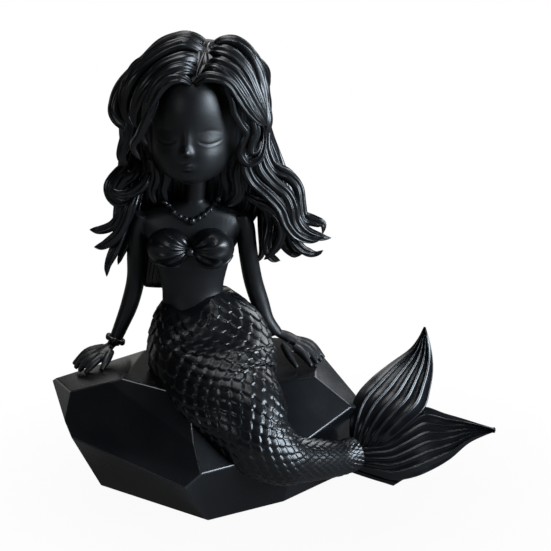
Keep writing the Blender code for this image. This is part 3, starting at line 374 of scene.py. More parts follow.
bend = smooth_path([(0.0, 0.0, 0.0, 1.0), (10.0, 0.0, 0.0, 2.0), (10.0, 10.0, 0.0, 1.0)], 4)
print("a bend with a radius, in 4 spans:", [[round(c, 1) for c in place] for place in bend])


# %% Directions along a path
def directions(places, first_side, level_share=0.0):
    """Along, side and out directions at each place, turning as little as possible.

    Over the first level_share of the places the rings turn from level to square.
    """
    side = Vector(first_side)
    found = []
    for here in range(len(places)):
        ahead = Vector(places[min(here + 1, len(places) - 1)][:3])
        behind = Vector(places[max(here - 1, 0)][:3])
        along = (ahead - behind).normalized()
        if here < level_share * len(places):
            share = here / (level_share * len(places))
            along = Vector((0, 0, -1)).lerp(along, share ** 2 * (3 - 2 * share)).normalized()
        side = (side - along * side.dot(along)).normalized()
        found.append((along, side, along.cross(side)))
    return found


first, *_, last = directions(bend, (0.0, 0.0, 1.0))
print("it turns", round(math.degrees(first[0].angle(last[0]))), "degrees from end to end")


# %% Lofts and tubes
class Store:
    """Vertices and faces of one piece, gathered loft by loft."""

    def __init__(self):
        self.points = []
        self.faces = []

    def loft(self, rings, capped=True):
        """Joins rings of equally many points; capped closes both ends."""
        first = len(self.points)
        count = len(rings[0])
        for ring in rings:
            self.points.extend(ring)
        for row in range(len(rings) - 1):
            start = first + row * count
            for here in range(count):
                after = (here + 1) % count
                above = start + count
                self.faces.append((start + here, start + after, above + after, above + here))
        if capped:
            self.faces.append(tuple(range(first + count - 1, first - 1, -1)))
            self.faces.append(tuple(range(len(self.points) - count, len(self.points))))


def tube_rings(points, sides, spans, flat=1.0, first_side=(1.0, 0.0, 0.0)):
    """Rings of a round or flattened tube along points that hold x, y, z and a radius."""
    path = smooth_path(points, spans)
    rings = []
    for (x, y, z, radius), (_, side, out) in zip(path, directions(path, first_side)):
        rings.append([
            Vector((x, y, z)) + side * math.cos(a) * radius + out * math.sin(a) * radius * flat
            for a in (2 * math.pi * here / sides for here in range(sides))
        ])
    return rings


sample = Store()
sample.loft(tube_rings(bend, sides=12, spans=8))
print("the bend as a tube:", len(sample.points), "points and", len(sample.faces), "faces")

# %% [markdown]
# ## The body
#
# On the real figure the arms run into the shoulders and the neck into the chest with
# no seam. Joining lofts with a Boolean leaves a crease at each junction, so here the
# lofts of the torso, the neck, the arms, the palms and the fingers are remeshed
# together on a voxel grid and smoothed. The voxel is small enough to keep the fingers
# apart.

# %% Sizes of the body
# Height, middle x, middle y, half width and half depth of each section.
TORSO = (
    (97.5, -26.3, 3.0, 3.3, 3.2),
    (95.5, -26.8, 3.2, 8.0, 4.0),
    (93.5, -27.5, 3.5, 14.5, 5.0),
    (91.0, -28.0, 3.5, 17.4, 5.6),
    (88.0, -28.0, 3.2, 16.6, 6.2),
    (84.0, -28.0, 2.8, 14.2, 6.8),
    (80.0, -27.8, 2.5, 13.0, 7.0),
    (76.0, -27.7, 2.5, 12.2, 6.8),
    (72.5, -27.6, 3.0, 11.2, 6.4),
    (69.0, -27.6, 3.3, 10.4, 6.2),
    (66.0, -27.5, 3.6, 10.2, 6.4),
    (62.0, -27.0, 3.2, 10.6, 6.6),
    (58.0, -26.0, 2.2, 10.6, 6.8),
    (54.0, -25.0, 0.5, 10.6, 7.0),
)
NECK = ((-27.0, 3.5, 90.0), (-26.4, 3.0, 97.0), (-25.8, 2.0, 103.0), (-25.6, 1.0, 109.0))
NECK_RADIUS = 3.2
# Place and radius, from the shoulder to the wrist.
ARM_LEFT = (
    (-43.8, 3.0, 92.6, 2.6),
    (-45.3, 4.0, 88.0, 3.1),
    (-46.3, 6.0, 79.5, 3.1),
    (-46.8, 9.0, 69.0, 3.1),
    (-49.0, 9.0, 60.0, 3.0),
    (-52.0, 8.0, 52.5, 2.5),
    (-54.7, 7.0, 46.3, 2.1),
)
ARM_RIGHT = (
    (-11.2, 3.0, 92.8, 2.6),
    (-10.0, 4.0, 88.0, 3.2),
    (-9.2, 6.0, 79.5, 3.2),
    (-7.6, 9.0, 68.5, 3.2),
    (-5.2, 10.0, 60.0, 3.1),
    (-3.0, 9.5, 54.0, 2.6),
    (0.3, 9.5, 49.4, 2.2),
)
PALM_HALF_WIDTH = 3.3
PALM_HALF_THICKNESS = 1.7
WRIST_SHARE = 0.62
FINGER_RADIUS = 1.35
FINGER_SHARES = (1.0, 1.05, 0.6)
BODY_VOXEL = 0.42
# Places from the wrist to the fingertips; the thumb is the last of a hand.
PALM_LEFT = ((-54.7, 7.0, 46.3), (-57.5, 5.2, 44.8), (-60.0, 3.2, 43.2))
FINGERS_LEFT = (
    ((-58.0, 7.4, 45.0), (-63.6, 6.6, 43.6), (-68.2, 4.4, 39.8)),
    ((-58.4, 5.2, 44.8), (-63.6, 3.9, 43.0), (-67.4, 1.6, 39.4)),
    ((-58.4, 3.0, 44.4), (-62.8, 1.0, 42.4), (-65.8, -1.2, 39.2)),
    ((-57.8, 1.2, 44.0), (-61.2, -1.4, 41.8), (-63.4, -3.4, 39.2)),
    ((-55.2, 3.2, 45.0), (-56.4, -0.8, 43.0), (-58.0, -4.0, 40.6)),
)
PALM_RIGHT = ((0.3, 9.5, 49.4), (3.6, 10.2, 48.0), (7.0, 10.0, 46.2))
FINGERS_RIGHT = (
    ((6.5, 12.0, 46.4), (12.0, 11.6, 44.8), (16.4, 9.0, 40.6)),
    ((6.8, 9.8, 46.2), (11.6, 9.2, 44.4), (15.6, 6.2, 40.4)),
    ((6.6, 7.6, 46.0), (10.8, 6.8, 44.0), (14.2, 3.8, 40.2)),
    ((6.0, 5.6, 45.8), (9.2, 4.4, 43.6), (12.2, 1.6, 40.0)),
    ((2.6, 6.6, 46.4), (4.6, 3.4, 43.4), (7.4, 0.2, 40.0)),
)
print("torso from", TORSO[-1][0], "to", TORSO[0][0], "mm,", len(FINGERS_LEFT), "fingers a hand")


# %% Lofting the body
def level_ring(z, middle_x, middle_y, half_width, front, back, sides):
    """A level oval whose front and back lie at their own distances."""
    ring = []
    for here in range(sides):
        angle = 2 * math.pi * here / sides
        reach = middle_y - front if math.cos(angle) > 0 else back - middle_y
        ring.append(Vector((
            middle_x + half_width * math.sin(angle),
            middle_y - reach * math.cos(angle),
            z,
        )))
    return ring


def arm_lofts(store, arm, palm, fingers):
    """Adds an arm, its palm and its fingers to the store."""
    store.loft(tube_rings(arm, sides=20, spans=30))
    widths = (PALM_HALF_WIDTH * WRIST_SHARE, PALM_HALF_WIDTH, PALM_HALF_WIDTH)
    palm = [(*point, width) for point, width in zip(palm, widths)]
    flat = PALM_HALF_THICKNESS / PALM_HALF_WIDTH
    store.loft(tube_rings(palm, sides=16, spans=8, flat=flat, first_side=(0, 1, 0)))
    for finger in fingers:
        joints = [(*p, FINGER_RADIUS * share) for p, share in zip(finger, FINGER_SHARES)]
        store.loft(tube_rings(joints, sides=12, spans=10))


body_store = Store()
torso = smooth_path([(x, y, z, hw, hd) for z, x, y, hw, hd in TORSO], spans=40)
body_store.loft([
    level_ring(z, x, y, half_width, y - half_depth, y + half_depth, sides=48)
    for x, y, z, half_width, half_depth in torso
])
body_store.loft(tube_rings([(*point, NECK_RADIUS) for point in NECK], sides=24, spans=8))
arm_lofts(body_store, ARM_LEFT, PALM_LEFT, FINGERS_LEFT)
arm_lofts(body_store, ARM_RIGHT, PALM_RIGHT, FINGERS_RIGHT)
body = piece("body", body_store.points, body_store.faces, skin_resin)
remesh = body.modifiers.new("one skin", "REMESH")
remesh.mode = "VOXEL"
remesh.voxel_size = BODY_VOXEL * MM
remesh.use_smooth_shade = True
soften = body.modifiers.new("soft junctions", "SMOOTH")
soften.factor = 0.5
soften.iterations = 5

# %% [markdown]
# ## The head and face
#
# The head is an egg-shaped loft. Its face is a doll's: eyes closed, a small nose and
# a small mouth. The features are a height map that pushes each point of the front
# outward: round bumps for the nose, lids, cheeks and lips, and thin arcs for the lash
# lines, the lid creases and the line between the lips. Sculpting would do as well, but
# a table of bumps can be read and changed.

# %% Sizes of the head
HEAD_X = -26.0
HEAD_MIDDLE_Y = 1.0
HEAD_TURN = math.radians(-6.0)
# How far behind its own middle a section may be widest.
HEAD_MIDDLE_LIMIT = 3.0
# How much closer the columns of the mesh stand on the face than on the back.
FACE_PACKING = 0.55
# Height, half width, front y and back y of each section.
HEAD = (
    (106.1, 2.4, -13.6, -7.0),
    (107.2, 6.4, -15.0, -4.0),
    (109.0, 9.6, -16.0, -1.5),
    (111.8, 12.1, -16.7, 3.0),
    (115.5, 13.6, -17.0, 7.0),
    (119.0, 14.2, -16.9, 10.0),
    (123.0, 14.6, -16.7, 11.0),
    (126.5, 14.6, -16.8, 12.0),
    (130.5, 14.3, -16.8, 12.0),
    (134.6, 13.7, -16.0, 12.0),
    (138.0, 12.6, -14.4, 11.0),
    (141.0, 10.6, -12.0, 10.0),
    (143.5, 7.5, -8.0, 8.0),
)
# Distance from the face's middle, height, spread across, spread up and down, relief.
# What isn't on the middle is there twice, left and right.
FACE_BUMPS = {
    "nose tip": (0.0, 117.4, 1.5, 1.6, 1.9),
    "nostril wings": (1.2, 116.7, 0.8, 0.8, 0.35),
    "nose bridge": (0.0, 121.0, 1.4, 3.6, 0.7),
    "eye sockets": (6.8, 122.4, 4.8, 3.4, -0.7),
    "eyelids": (7.0, 121.4, 3.6, 2.5, 0.42),
    "cheeks": (7.5, 115.0, 4.2, 3.8, 0.35),
    "lips": (0.0, 112.6, 2.2, 1.4, 0.8),
    "upper lip": (0.0, 113.1, 1.3, 0.5, 0.25),
    "lower lip": (0.0, 111.7, 1.1, 0.5, 0.35),
    "below the mouth": (0.0, 110.3, 2.4, 0.9, -0.35),
    "chin": (0.0, 108.4, 3.0, 1.4, 0.35),
}
# Distance from the middle, height, half length, rise of the ends, thickness, relief.
FACE_ARCS = {
    "lash lines": (7.0, 119.6, 3.2, 0.9, 0.40, -0.26),
    "lashes": (7.0, 119.0, 3.3, 0.9, 0.42, 0.08),
    "lid creases": (7.0, 124.0, 3.2, -0.9, 0.50, -0.10),
    "line between the lips": (0.0, 112.4, 1.5, 0.3, 0.30, -0.35),
}
ARC_END = 1.15
print("head", round(HEAD[-1][0] - HEAD[0][0], 1), "mm high, with", len(FACE_BUMPS), "kinds of bump")


# %% Face relief and head loft
def both_sides(features):
    """The features with their distance as an x; left and right where it isn't 0."""
    for distance, *values in features.values():
        for side in (-1, 1) if distance else (1,):
            yield side * distance, *values


def face_relief(x, z):
    """How far the face stands out at x from its middle and height z."""
    total = 0.0
    for middle, height, across, upright, relief in both_sides(FACE_BUMPS):
        total += relief * math.exp(-((x - middle) / across) ** 2 - ((z - height) / upright) ** 2)
    for middle, height, half, rise, thick, relief in both_sides(FACE_ARCS):
        share = (x - middle) / half
        if abs(share) < ARC_END:
            line = height + rise * share ** 2
            fade = 1 - abs(share / ARC_END) ** 4
            total += relief * fade * math.exp(-((z - line) / thick) ** 2)
    return total


def head_rings(rings, sides):
    """Rings of the head, packed closer on the face."""
    turn = Matrix.Rotation(HEAD_TURN, 4, "Z")
    pivot = Vector((HEAD_X, HEAD_MIDDLE_Y, 0.0))
    stations = [(0.0, 0.0, z, half, front, back) for z, half, front, back in HEAD]
    made = []
    for _, _, z, half, front, back in smooth_path(stations, rings):
        middle_y = min(HEAD_MIDDLE_Y, (front + back) / 2 + HEAD_MIDDLE_LIMIT)
        ring = []
        for here in range(sides):
            share = here / sides
            angle = 2 * math.pi * share - FACE_PACKING * math.sin(2 * math.pi * share)
            reach = middle_y - front if math.cos(angle) > 0 else back - middle_y
            x = half * math.sin(angle)
            y = middle_y - reach * math.cos(angle)
            if math.cos(angle) > 0:
                y -= face_relief(x, z) * math.cos(angle)
            ring.append(turn @ (Vector((x + HEAD_X, y, z)) - pivot) + pivot)
        made.append(ring)
    return made


head_store = Store()
head_store.loft(head_rings(rings=120, sides=160))
piece("head", head_store.points, head_store.faces, skin_resin)

# %% [markdown]
# ## The tail
#
# The scales are rows of round-ended plates, each lying over the ones below it, in a
# pattern that shrinks with the tail. Placing a thousand separate plates would work and
# would be heavy. A height map on one skin gives the same look: at every point the
# plate that is rooted highest up and still reaches that point is the one on top, and
# the skin rises along each plate to its tip and drops there.

# %% Sizes of the tail
# Place, half width and half depth of each section.
TAIL = (
    (-26.3, 4.0, 66.5, 11.2, 7.2),
    (-24.8, 3.7, 63.5, 13.0, 8.6),
    (-23.0, 2.3, 58.2, 16.8, 11.6),
    (-22.0, -1.9, 52.4, 19.4, 13.0),
    (-21.0, -8.0, 47.3, 20.2, 12.6),
    (-19.0, -14.8, 43.2, 18.8, 11.0),
    (-16.3, -20.9, 38.9, 17.0, 10.4),
    (-10.8, -26.6, 33.5, 14.3, 10.0),
    (-5.5, -29.6, 25.6, 11.4, 9.8),
    (2.0, -29.0, 19.6, 8.6, 8.2),
    (7.9, -25.5, 17.3, 6.8, 6.6),
    (14.7, -19.5, 15.1, 6.0, 5.8),
    (21.1, -13.0, 12.9, 5.2, 5.0),
    (26.2, -9.0, 13.1, 5.0, 4.8),
)
# The sections are level at the waist and square to the tail after this share of it.
LEVEL_SHARE = 0.5
# The rows are spaced by this share along the front and by the rest along the middle.
FRONT_SHARE = 0.75
TAIL_FRONT = Vector((0.0, -0.96, 0.28))
SECTIONS_A_RING = 4
SCALE_COLUMNS = 20
SCALE_ROWS = 46
SCALE_LIFT = 1.25
LEAST_LIFT_SHARE = 0.55
WIDEST_HALF_WIDTH = 20
# Rows over which the scales rise out of the waist.
FIRST_ROWS = 1.5
# Length and straight part of a plate in rows, and its half width in columns.
SCALE_LENGTH = 2.35
SCALE_STRAIGHT = 0.75
SCALE_HALF_WIDTH = 0.52
# Shares of SCALE_LIFT.
SKIN_HEIGHT = 0.1
PLATE_RISE = 0.75
PLATE_BOW = 0.12
PLATE_DOME = 0.22
RIM_WIDTH = 0.35
# Rows by which the waist line hangs lower: all round, to the left, and at its point.
WAIST_DROP = 0.9
WAIST_TILT = 1.1
WAIST_POINT = 1.8
WAIST_POINT_LEFT = 0.25
WAIST_POINT_SLOPE = 1.6
WAIST_FADE_ROWS = 14
print("tail with", SCALE_ROWS, "rows of", SCALE_COLUMNS, "scales")


# %% Scale height map and tail loft
def scale_height(column_at, row_at):
    """Height of the topmost plate at a place counted in columns and rows, as a share."""
    for row in range(math.ceil(row_at - SCALE_LENGTH), math.floor(row_at) + 1):
        along = row_at - row
        offset = 0.5 * (row % 2)
        across = abs(column_at - offset - round(column_at - offset)) / SCALE_HALF_WIDTH
        past = max(0.0, along - SCALE_STRAIGHT) / (SCALE_LENGTH - SCALE_STRAIGHT)
        rim = 1 - past ** 2 - across ** 2
        if rim < 0 or past >= 1:
            continue
        dome = min(1.0, rim / RIM_WIDTH) ** 0.5
        rise = along / SCALE_LENGTH
        return SKIN_HEIGHT + PLATE_RISE * rise - PLATE_BOW * across ** 2 + PLATE_DOME * dome
    return SKIN_HEIGHT


def tail_sections(count):
    """Sections of the tail, spaced evenly along its front and closer where it is thin."""
    path = smooth_path(TAIL, count)
    frames = directions(path, (1.0, 0.0, 0.0), LEVEL_SHARE)
    travelled = []
    for (*place, half_width, half_depth), (_, side, out) in zip(path, frames):
        middle = Vector(place)
        across = half_width * side.dot(TAIL_FRONT)
        up = half_depth * out.dot(TAIL_FRONT)
        reach = (side * half_width * across + out * half_depth * up) / math.hypot(across, up)
        front = middle + reach
        if travelled:
            step = FRONT_SHARE * (front - front_before).length
            step += (1 - FRONT_SHARE) * (middle - middle_before).length
            travelled.append(travelled[-1] + step / half_width ** 0.5)
        else:
            travelled.append(0.0)
        middle_before = middle
        front_before = front
    sections = []
    at = 0
    for row in range(count + 1):
        wanted = travelled[-1] * row / count
        while at < count - 1 and travelled[at + 1] < wanted:
            at += 1
        share = (wanted - travelled[at]) / (travelled[at + 1] - travelled[at])
        x, y, z, half_width, half_depth = (
            a + (b - a) * share for a, b in zip(path[at], path[at + 1])
        )
        turned = [a.lerp(b, share).normalized() for a, b in zip(frames[at], frames[at + 1])]
        sections.append((Vector((x, y, z)), half_width, half_depth, *turned))
    return sections


def waist_drop(angle, row_at):
    """How many rows lower the scales lie, by their angle round the tail from the right."""
    left = -math.cos(angle)
    front = max(0.0, math.sin(angle))
    point = max(0.0, 1 - WAIST_POINT_SLOPE * abs(left - WAIST_POINT_LEFT))
    drop = WAIST_DROP + WAIST_TILT * left + WAIST_POINT * front * point
    return max(0.0, drop) * max(0.0, 1 - row_at / WAIST_FADE_ROWS)


def tail_rings(around_each, along_each):
    """Rings of the tail with the scales raised on them."""
    steps = SECTIONS_A_RING * along_each
    sections = tail_sections(SCALE_ROWS * steps)
    rings = []
    for here in range(SCALE_ROWS * along_each + 1):
        row_at = here / along_each
        ring = []
        for step in range(SCALE_COLUMNS * around_each):
            column_at = step / around_each
            angle = 2 * math.pi * column_at / SCALE_COLUMNS
            place = round((row_at + waist_drop(angle, row_at)) * steps)
            middle, half_width, half_depth, _, side, out = sections[place]
            width_share = (1 - LEAST_LIFT_SHARE) * half_width / WIDEST_HALF_WIDTH
            size = SCALE_LIFT * (LEAST_LIFT_SHARE + width_share)
            spot = side * math.cos(angle) * half_width + out * math.sin(angle) * half_depth
            outward = side * math.cos(angle) / half_width + out * math.sin(angle) / half_depth
            height = scale_height(column_at, row_at) * min(1.0, row_at / FIRST_ROWS)
            ring.append(middle + spot + outward.normalized() * size * height)
        rings.append(ring)
    return rings


tail_store = Store()
tail_store.loft(tail_rings(around_each=12, along_each=8))
piece("tail", tail_store.points, tail_store.faces, scale_resin)

# %% [markdown]
# ## The tail fin
#
# Each lobe of the fin is a leaf between two edge curves, bowed to the front, with thin
# raised rays. The rays fan out from the root because they run at fixed shares of the
# width. A textured plane would lose them in a side view, so they are in the mesh.

# %% Sizes of the fin
FIN_THICKNESS = 1.3
EDGE_SHARE = 0.22
MIDDLE_SHARE = 0.28
RAY_HEIGHT = 0.9
VEIN_SHARE = 0.04
# Left edge and right edge from the root to the tip, the bow of the root, and the rays.
FINS = {
    "upper lobe": (
        ((25.0, -8.0, 13.5), (24.8, -5.8, 22.5), (26.5, -2.0, 30.0), (31.5, 2.2, 35.0),
         (38.5, 6.2, 39.5), (45.0, 8.8, 43.5), (48.2, 10.3, 47.0), (50.2, 11.0, 51.0)),
        ((30.5, -8.0, 10.5), (38.5, -9.6, 18.5), (45.0, -7.2, 23.5), (50.0, -4.2, 27.5),
         (52.0, -0.2, 32.5), (53.2, 4.2, 38.0), (52.8, 8.1, 44.0), (50.9, 11.0, 51.0)),
        0.6, 6,
    ),
    "right lobe": (
        ((24.0, -7.0, 15.0), (36.5, -7.0, 18.9), (42.5, -5.0, 23.2), (49.0, -2.5, 27.2),
         (57.0, -3.0, 25.0), (63.0, -4.0, 23.5), (68.5, -5.0, 22.0), (73.6, -6.0, 20.8)),
        ((24.0, -9.0, 8.5), (32.0, -12.0, 7.0), (39.0, -14.0, 5.5), (46.0, -14.0, 6.5),
         (52.5, -12.0, 8.5), (58.5, -10.0, 11.5), (65.0, -8.0, 16.5), (73.2, -6.0, 19.6)),
        2.4, 7,
    ),
    "under fin": (
        ((24.0, -5.0, 9.5), (32.0, -7.0, 7.5), (38.5, -8.0, 6.5), (46.0, -8.5, 5.6)),
        ((24.0, -7.0, 6.0), (31.0, -8.5, 4.0), (36.0, -9.0, 2.6), (39.5, -9.5, 1.6)),
        0.5, 4,
    ),
}
print("fin of", len(FINS), "leaves with", [rays for *_, rays in FINS.values()], "rays")


# %% Fin lofts
def fin_rings(left_edge, right_edge, camber, rays, spans=60, across_each=10):
    """Rings of one ribbed leaf: its front from edge to edge, then its back."""
    left_path = smooth_path(left_edge, spans)
    right_path = smooth_path(right_edge, spans)
    count = rays * across_each
    rings = []
    for span in range(spans + 1):
        left = Vector(left_path[span])
        right = Vector(right_path[span])
        before = Vector(left_path[max(span - 1, 0)]) + Vector(right_path[max(span - 1, 0)])
        after = Vector(left_path[min(span + 1, spans)]) + Vector(right_path[min(span + 1, spans)])
        out = (right - left).cross(after - before).normalized()
        if out.y > 0:
            out.negate()
        front = []
        back = []
        for step in range(count + 1):
            share = step / count
            bow = math.sin(math.pi * share)
            middle = left.lerp(right, share) + out * camber * bow * (1 - span / spans)
            ray = 1 - abs(math.sin(math.pi * rays * share))
            vein = 1 - abs(math.sin(math.pi * rays * 3 * share))
            thick = FIN_THICKNESS * (EDGE_SHARE + MIDDLE_SHARE * min(1.0, bow * 2.5))
            ridge = RAY_HEIGHT * (ray ** 3 + VEIN_SHARE * vein) * min(1.0, bow * 3)
            front.append(middle + out * (thick + ridge))
            back.append(middle - out * (thick + ridge))
        rings.append(front + back[::-1])
    return rings


fin_store = Store()
for left_edge, right_edge, camber, rays in FINS.values():
    fin_store.loft(fin_rings(left_edge, right_edge, camber, rays))
piece("tail_fin", fin_store.points, fin_store.faces, fin_resin)

# %% [markdown]
# ## The bra, the necklace and the bangle
#
# The cups are shells: half domes whose ribs fan out from the knot between them. The
# rays of the fan are the columns of the mesh, so every rib is one smooth wave across
# them. The necklace is a thin cord along the chest with beads on it, and the bangle
# is a ring of wire with round knobs. Both sit sunk into what they lie on, as they do
# on a casting. Balls and tubes could be placed as primitives; here they are lofts, so
# that the whole trim is two meshes.

# %% Sizes of the trim
CUP_CENTRES = ((-35.0, -3.2, 82.8), (-20.6, -3.2, 82.8))
CUP_HALF_WIDTH = 7.2
CUP_HALF_HEIGHT = 6.6
CUP_DEPTH = 6.6
CUP_FAN = math.radians(168)
CUP_RIBS = 6
CUP_RIB_DEPTH = 0.32
COLUMNS_A_RIB = 10
CUP_ROWS = 24
SKIRT_SHARE = 0.7
SKIRT_DEPTH = 4
RIM_RADIUS = 0.65
RIM_START = 30
RIM_TURN = 150
RIM_STEPS = 16
RIM_STAND = 0.6
RIM_END_DEPTH = 3.0
RIM_END_STEPS = 4
KNOT_CENTRE = (-27.8, -6.3, 82.0)
KNOT_RADIUS = 1.7
BEAD_RADIUS = 1.0
CORD_RADIUS = 0.7
PENDANT_RADIUS = 1.2
# Across and up; the chest gives the depth.
PENDANT = (-27.2, 91.4)
NECKLACE = (
    (-36.6, 97.0),
    (-35.0, 95.4),
    (-33.2, 94.0),
    (-31.2, 92.8),
    (-29.3, 92.0),
    (-25.0, 92.3),
    (-23.2, 93.4),
    (-21.4, 94.8),
    (-19.8, 96.4),
    (-18.6, 98.2),
)
BANGLE_CENTRE = (-54.0, 7.2, 47.9)
BANGLE_RADIUS = 2.8
BANGLE_WIRE = 0.7
BANGLE_KNOBS = 6
KNOB_RADIUS = 1.05
print("trim: cups of", CUP_RIBS, "ribs,", len(NECKLACE), "beads,", BANGLE_KNOBS, "knobs")


# %% Cups, rims and knot
def cup(store, centre, towards_knot):
    """One ribbed shell, closed by a skirt that ends inside the chest."""
    x, y, z = centre
    columns = CUP_RIBS * COLUMNS_A_RIB
    rings = []
    for column in range(columns + 1):
        angle = CUP_FAN * (column / columns - 0.5)
        wave = math.cos(2 * math.pi * CUP_RIBS * column / columns)
        line = []
        for row in range(CUP_ROWS + 1):
            share = 2 * math.cos(angle) * row / CUP_ROWS
            across = towards_knot * (1 - share * math.cos(angle))
            up = share * math.sin(angle)
            inside = max(0.0, 1 - across ** 2 - up ** 2)
            rib = CUP_RIB_DEPTH * math.sin(math.pi * row / CUP_ROWS) * wave
            line.append((
                x + across * CUP_HALF_WIDTH,
                y - CUP_DEPTH * inside ** 0.5 + rib,
                z + up * CUP_HALF_HEIGHT,
            ))
        skirt = [
            (x + (px - x) * SKIRT_SHARE, y + SKIRT_DEPTH, z + (pz - z) * SKIRT_SHARE)
            for px, _, pz in reversed(line)
        ]
        rings.append(line + skirt)
    store.loft(rings)


def cup_rim(store, centre, towards_knot):
    """The rim under a cup, from its outer end, which runs into the chest, to the knot."""
    x, y, z = centre
    rim = []
    for step in range(RIM_STEPS + 1):
        angle = math.radians(RIM_START + RIM_TURN * step / RIM_STEPS)
        sunk = RIM_END_DEPTH * max(0.0, 1 - step / RIM_END_STEPS) ** 2
        rim.append((
            x - towards_knot * CUP_HALF_WIDTH * math.cos(angle),
            y - RIM_STAND + sunk,
            z - CUP_HALF_HEIGHT * math.sin(angle),
            RIM_RADIUS,
        ))
    store.loft(tube_rings(rim, sides=12, spans=40, first_side=(0, 1, 0)))


def ball(store, centre, radius, segments=18, rows=12, tall=1.0):
    """A small ball, stretched upright by tall, with a tiny flat at each pole."""
    rings = []
    for row in range(rows + 1):
        rise = math.pi * (row + 0.02) / (rows + 0.04) - math.pi / 2
        rings.append([
            (
                centre[0] + radius * math.cos(rise) * math.cos(2 * math.pi * k / segments),
                centre[1] + radius * math.cos(rise) * math.sin(2 * math.pi * k / segments),
                centre[2] + radius * tall * math.sin(rise),
            )
            for k in range(segments)
        ])
    store.loft(rings)


bra_store = Store()
for centre, towards_knot in zip(CUP_CENTRES, (1, -1)):
    cup(bra_store, centre, towards_knot)
    cup_rim(bra_store, centre, towards_knot)
ball(bra_store, KNOT_CENTRE, KNOT_RADIUS)
piece("bra", bra_store.points, bra_store.faces, trim_resin)


# %% Necklace and bangle
def at_height(table, z):
    """The values of a table of falling heights, blended at height z."""
    for high, low in zip(table, table[1:]):
        if high[0] >= z >= low[0]:
            share = (high[0] - z) / (high[0] - low[0])
            return [a + (b - a) * share for a, b in zip(high[1:], low[1:])]
    raise ValueError(f"the table has no height {z}")


def chest_front(x, z):
    """The y of the front of the torso at x and z, or of the neck above it."""
    if z > TORSO[0][0]:
        return NECK[1][1] - NECK_RADIUS * 0.8
    middle_x, middle_y, half_width, half_depth = at_height(TORSO, z)
    across = min(abs(x - middle_x) / half_width, 0.98)
    return middle_y - half_depth * math.sqrt(1 - across ** 2)


def round_the_wrist(share, radius):
    """A place on a circle round the bangle's centre, and the direction of the wrist."""
    along = (Vector(ARM_LEFT[-1][:3]) - Vector(ARM_LEFT[-2][:3])).normalized()
    side = along.cross(Vector((0, 1, 0))).normalized()
    angle = 2 * math.pi * share
    outward = side * math.cos(angle) + along.cross(side) * math.sin(angle)
    return Vector(BANGLE_CENTRE) + outward * radius, along


def bangle_rings(sides=12, spans=48):
    """Rings of the bangle's wire, from a start back to the same place."""
    rings = []
    for turn in range(spans + 1):
        ring = []
        for side in range(sides):
            angle = 2 * math.pi * side / sides
            radius = BANGLE_RADIUS + BANGLE_WIRE * math.cos(angle)
            place, along = round_the_wrist(turn / spans, radius)
            ring.append(place + along * BANGLE_WIRE * math.sin(angle))
        rings.append(ring)
    return rings


trim_store = Store()
strung = [*NECKLACE[:5], PENDANT, *NECKLACE[5:]]
cord = [(x, chest_front(x, z) - CORD_RADIUS * 0.3, z, CORD_RADIUS) for x, z in strung]
trim_store.loft(tube_rings(cord, sides=12, spans=90, first_side=(0, 1, 0)))
for x, z in NECKLACE:
    ball(trim_store, (x, chest_front(x, z) - BEAD_RADIUS * 0.2, z), BEAD_RADIUS)
x, z = PENDANT
ball(trim_store, (x, chest_front(x, z) - PENDANT_RADIUS * 0.3, z), PENDANT_RADIUS, tall=1.2)
trim_store.loft(bangle_rings(), capped=False)
for knob in range(BANGLE_KNOBS):
    place, _ = round_the_wrist((knob + 0.5) / BANGLE_KNOBS, BANGLE_RADIUS)
    ball(trim_store, place, KNOB_RADIUS)
piece("necklace_and_bangle", trim_store.points, trim_store.faces, trim_resin)

# %% [markdown]
# ## The hair
#
# The hair is a solid mass with locks on it. A particle system would give single hairs,
# which a casting never has. Sculpted hair is made of bundles: a lock is one thick form
# with a few grooves along it, full in the middle and thin at its tip. So every lock
# here has a route of a few points, and one grooved loft follows it. The mass below is
# a loft too, with shallow upright grooves where it shows between the locks.

# %% Sizes of the hair
# Height, middle x, half width, front y and back y of each section.
HAIR_CORE = (
    (149.2, -24.5, 5.0, 2.0, 10.0),
    (147.8, -25.0, 12.0, -3.0, 15.0),
    (144.6, -25.6, 17.6, -8.6, 20.0),
    (140.0, -26.0, 20.8, -11.2, 24.0),
    (135.5, -26.2, 22.2, -9.0, 26.0),
    (129.0, -26.2, 22.6, -4.5, 27.0),
    (122.0, -26.0, 22.5, -3.0, 27.5),
    (114.0, -26.0, 22.0, -1.5, 26.5),
    (106.0, -26.0, 21.5, 1.5, 25.0),
    (98.0, -26.5, 21.0, 5.0, 23.0),
    (90.0, -27.5, 19.5, 6.5, 21.0),
    (82.0, -28.8, 17.0, 7.0, 18.5),
    (75.0, -31.0, 14.5, 8.0, 16.5),
    (68.0, -34.2, 11.5, 8.5, 15.0),
    (65.2, -35.0, 9.0, 9.5, 13.5),
)
CORE_MIDDLE_SHARE = 0.45
# Place and radius.
SIDE_MASS_RIGHT = (
    (-7.0, 11.0, 122.0, 4.5),
    (-4.0, 11.5, 112.0, 5.2),
    (-1.4, 11.0, 102.0, 6.2),
    (0.2, 10.4, 93.0, 6.6),
    (-0.4, 9.5, 85.0, 5.6),
    (-2.4, 8.8, 78.5, 3.0),
)
SIDE_MASS_LEFT = (
    (-44.0, 11.0, 120.0, 4.2),
    (-46.0, 10.5, 110.0, 4.6),
    (-48.0, 9.5, 100.0, 4.8),
    (-49.6, 8.5, 91.0, 4.4),
    (-51.0, 7.5, 83.0, 3.2),
    (-52.6, 6.0, 77.5, 1.6),
)
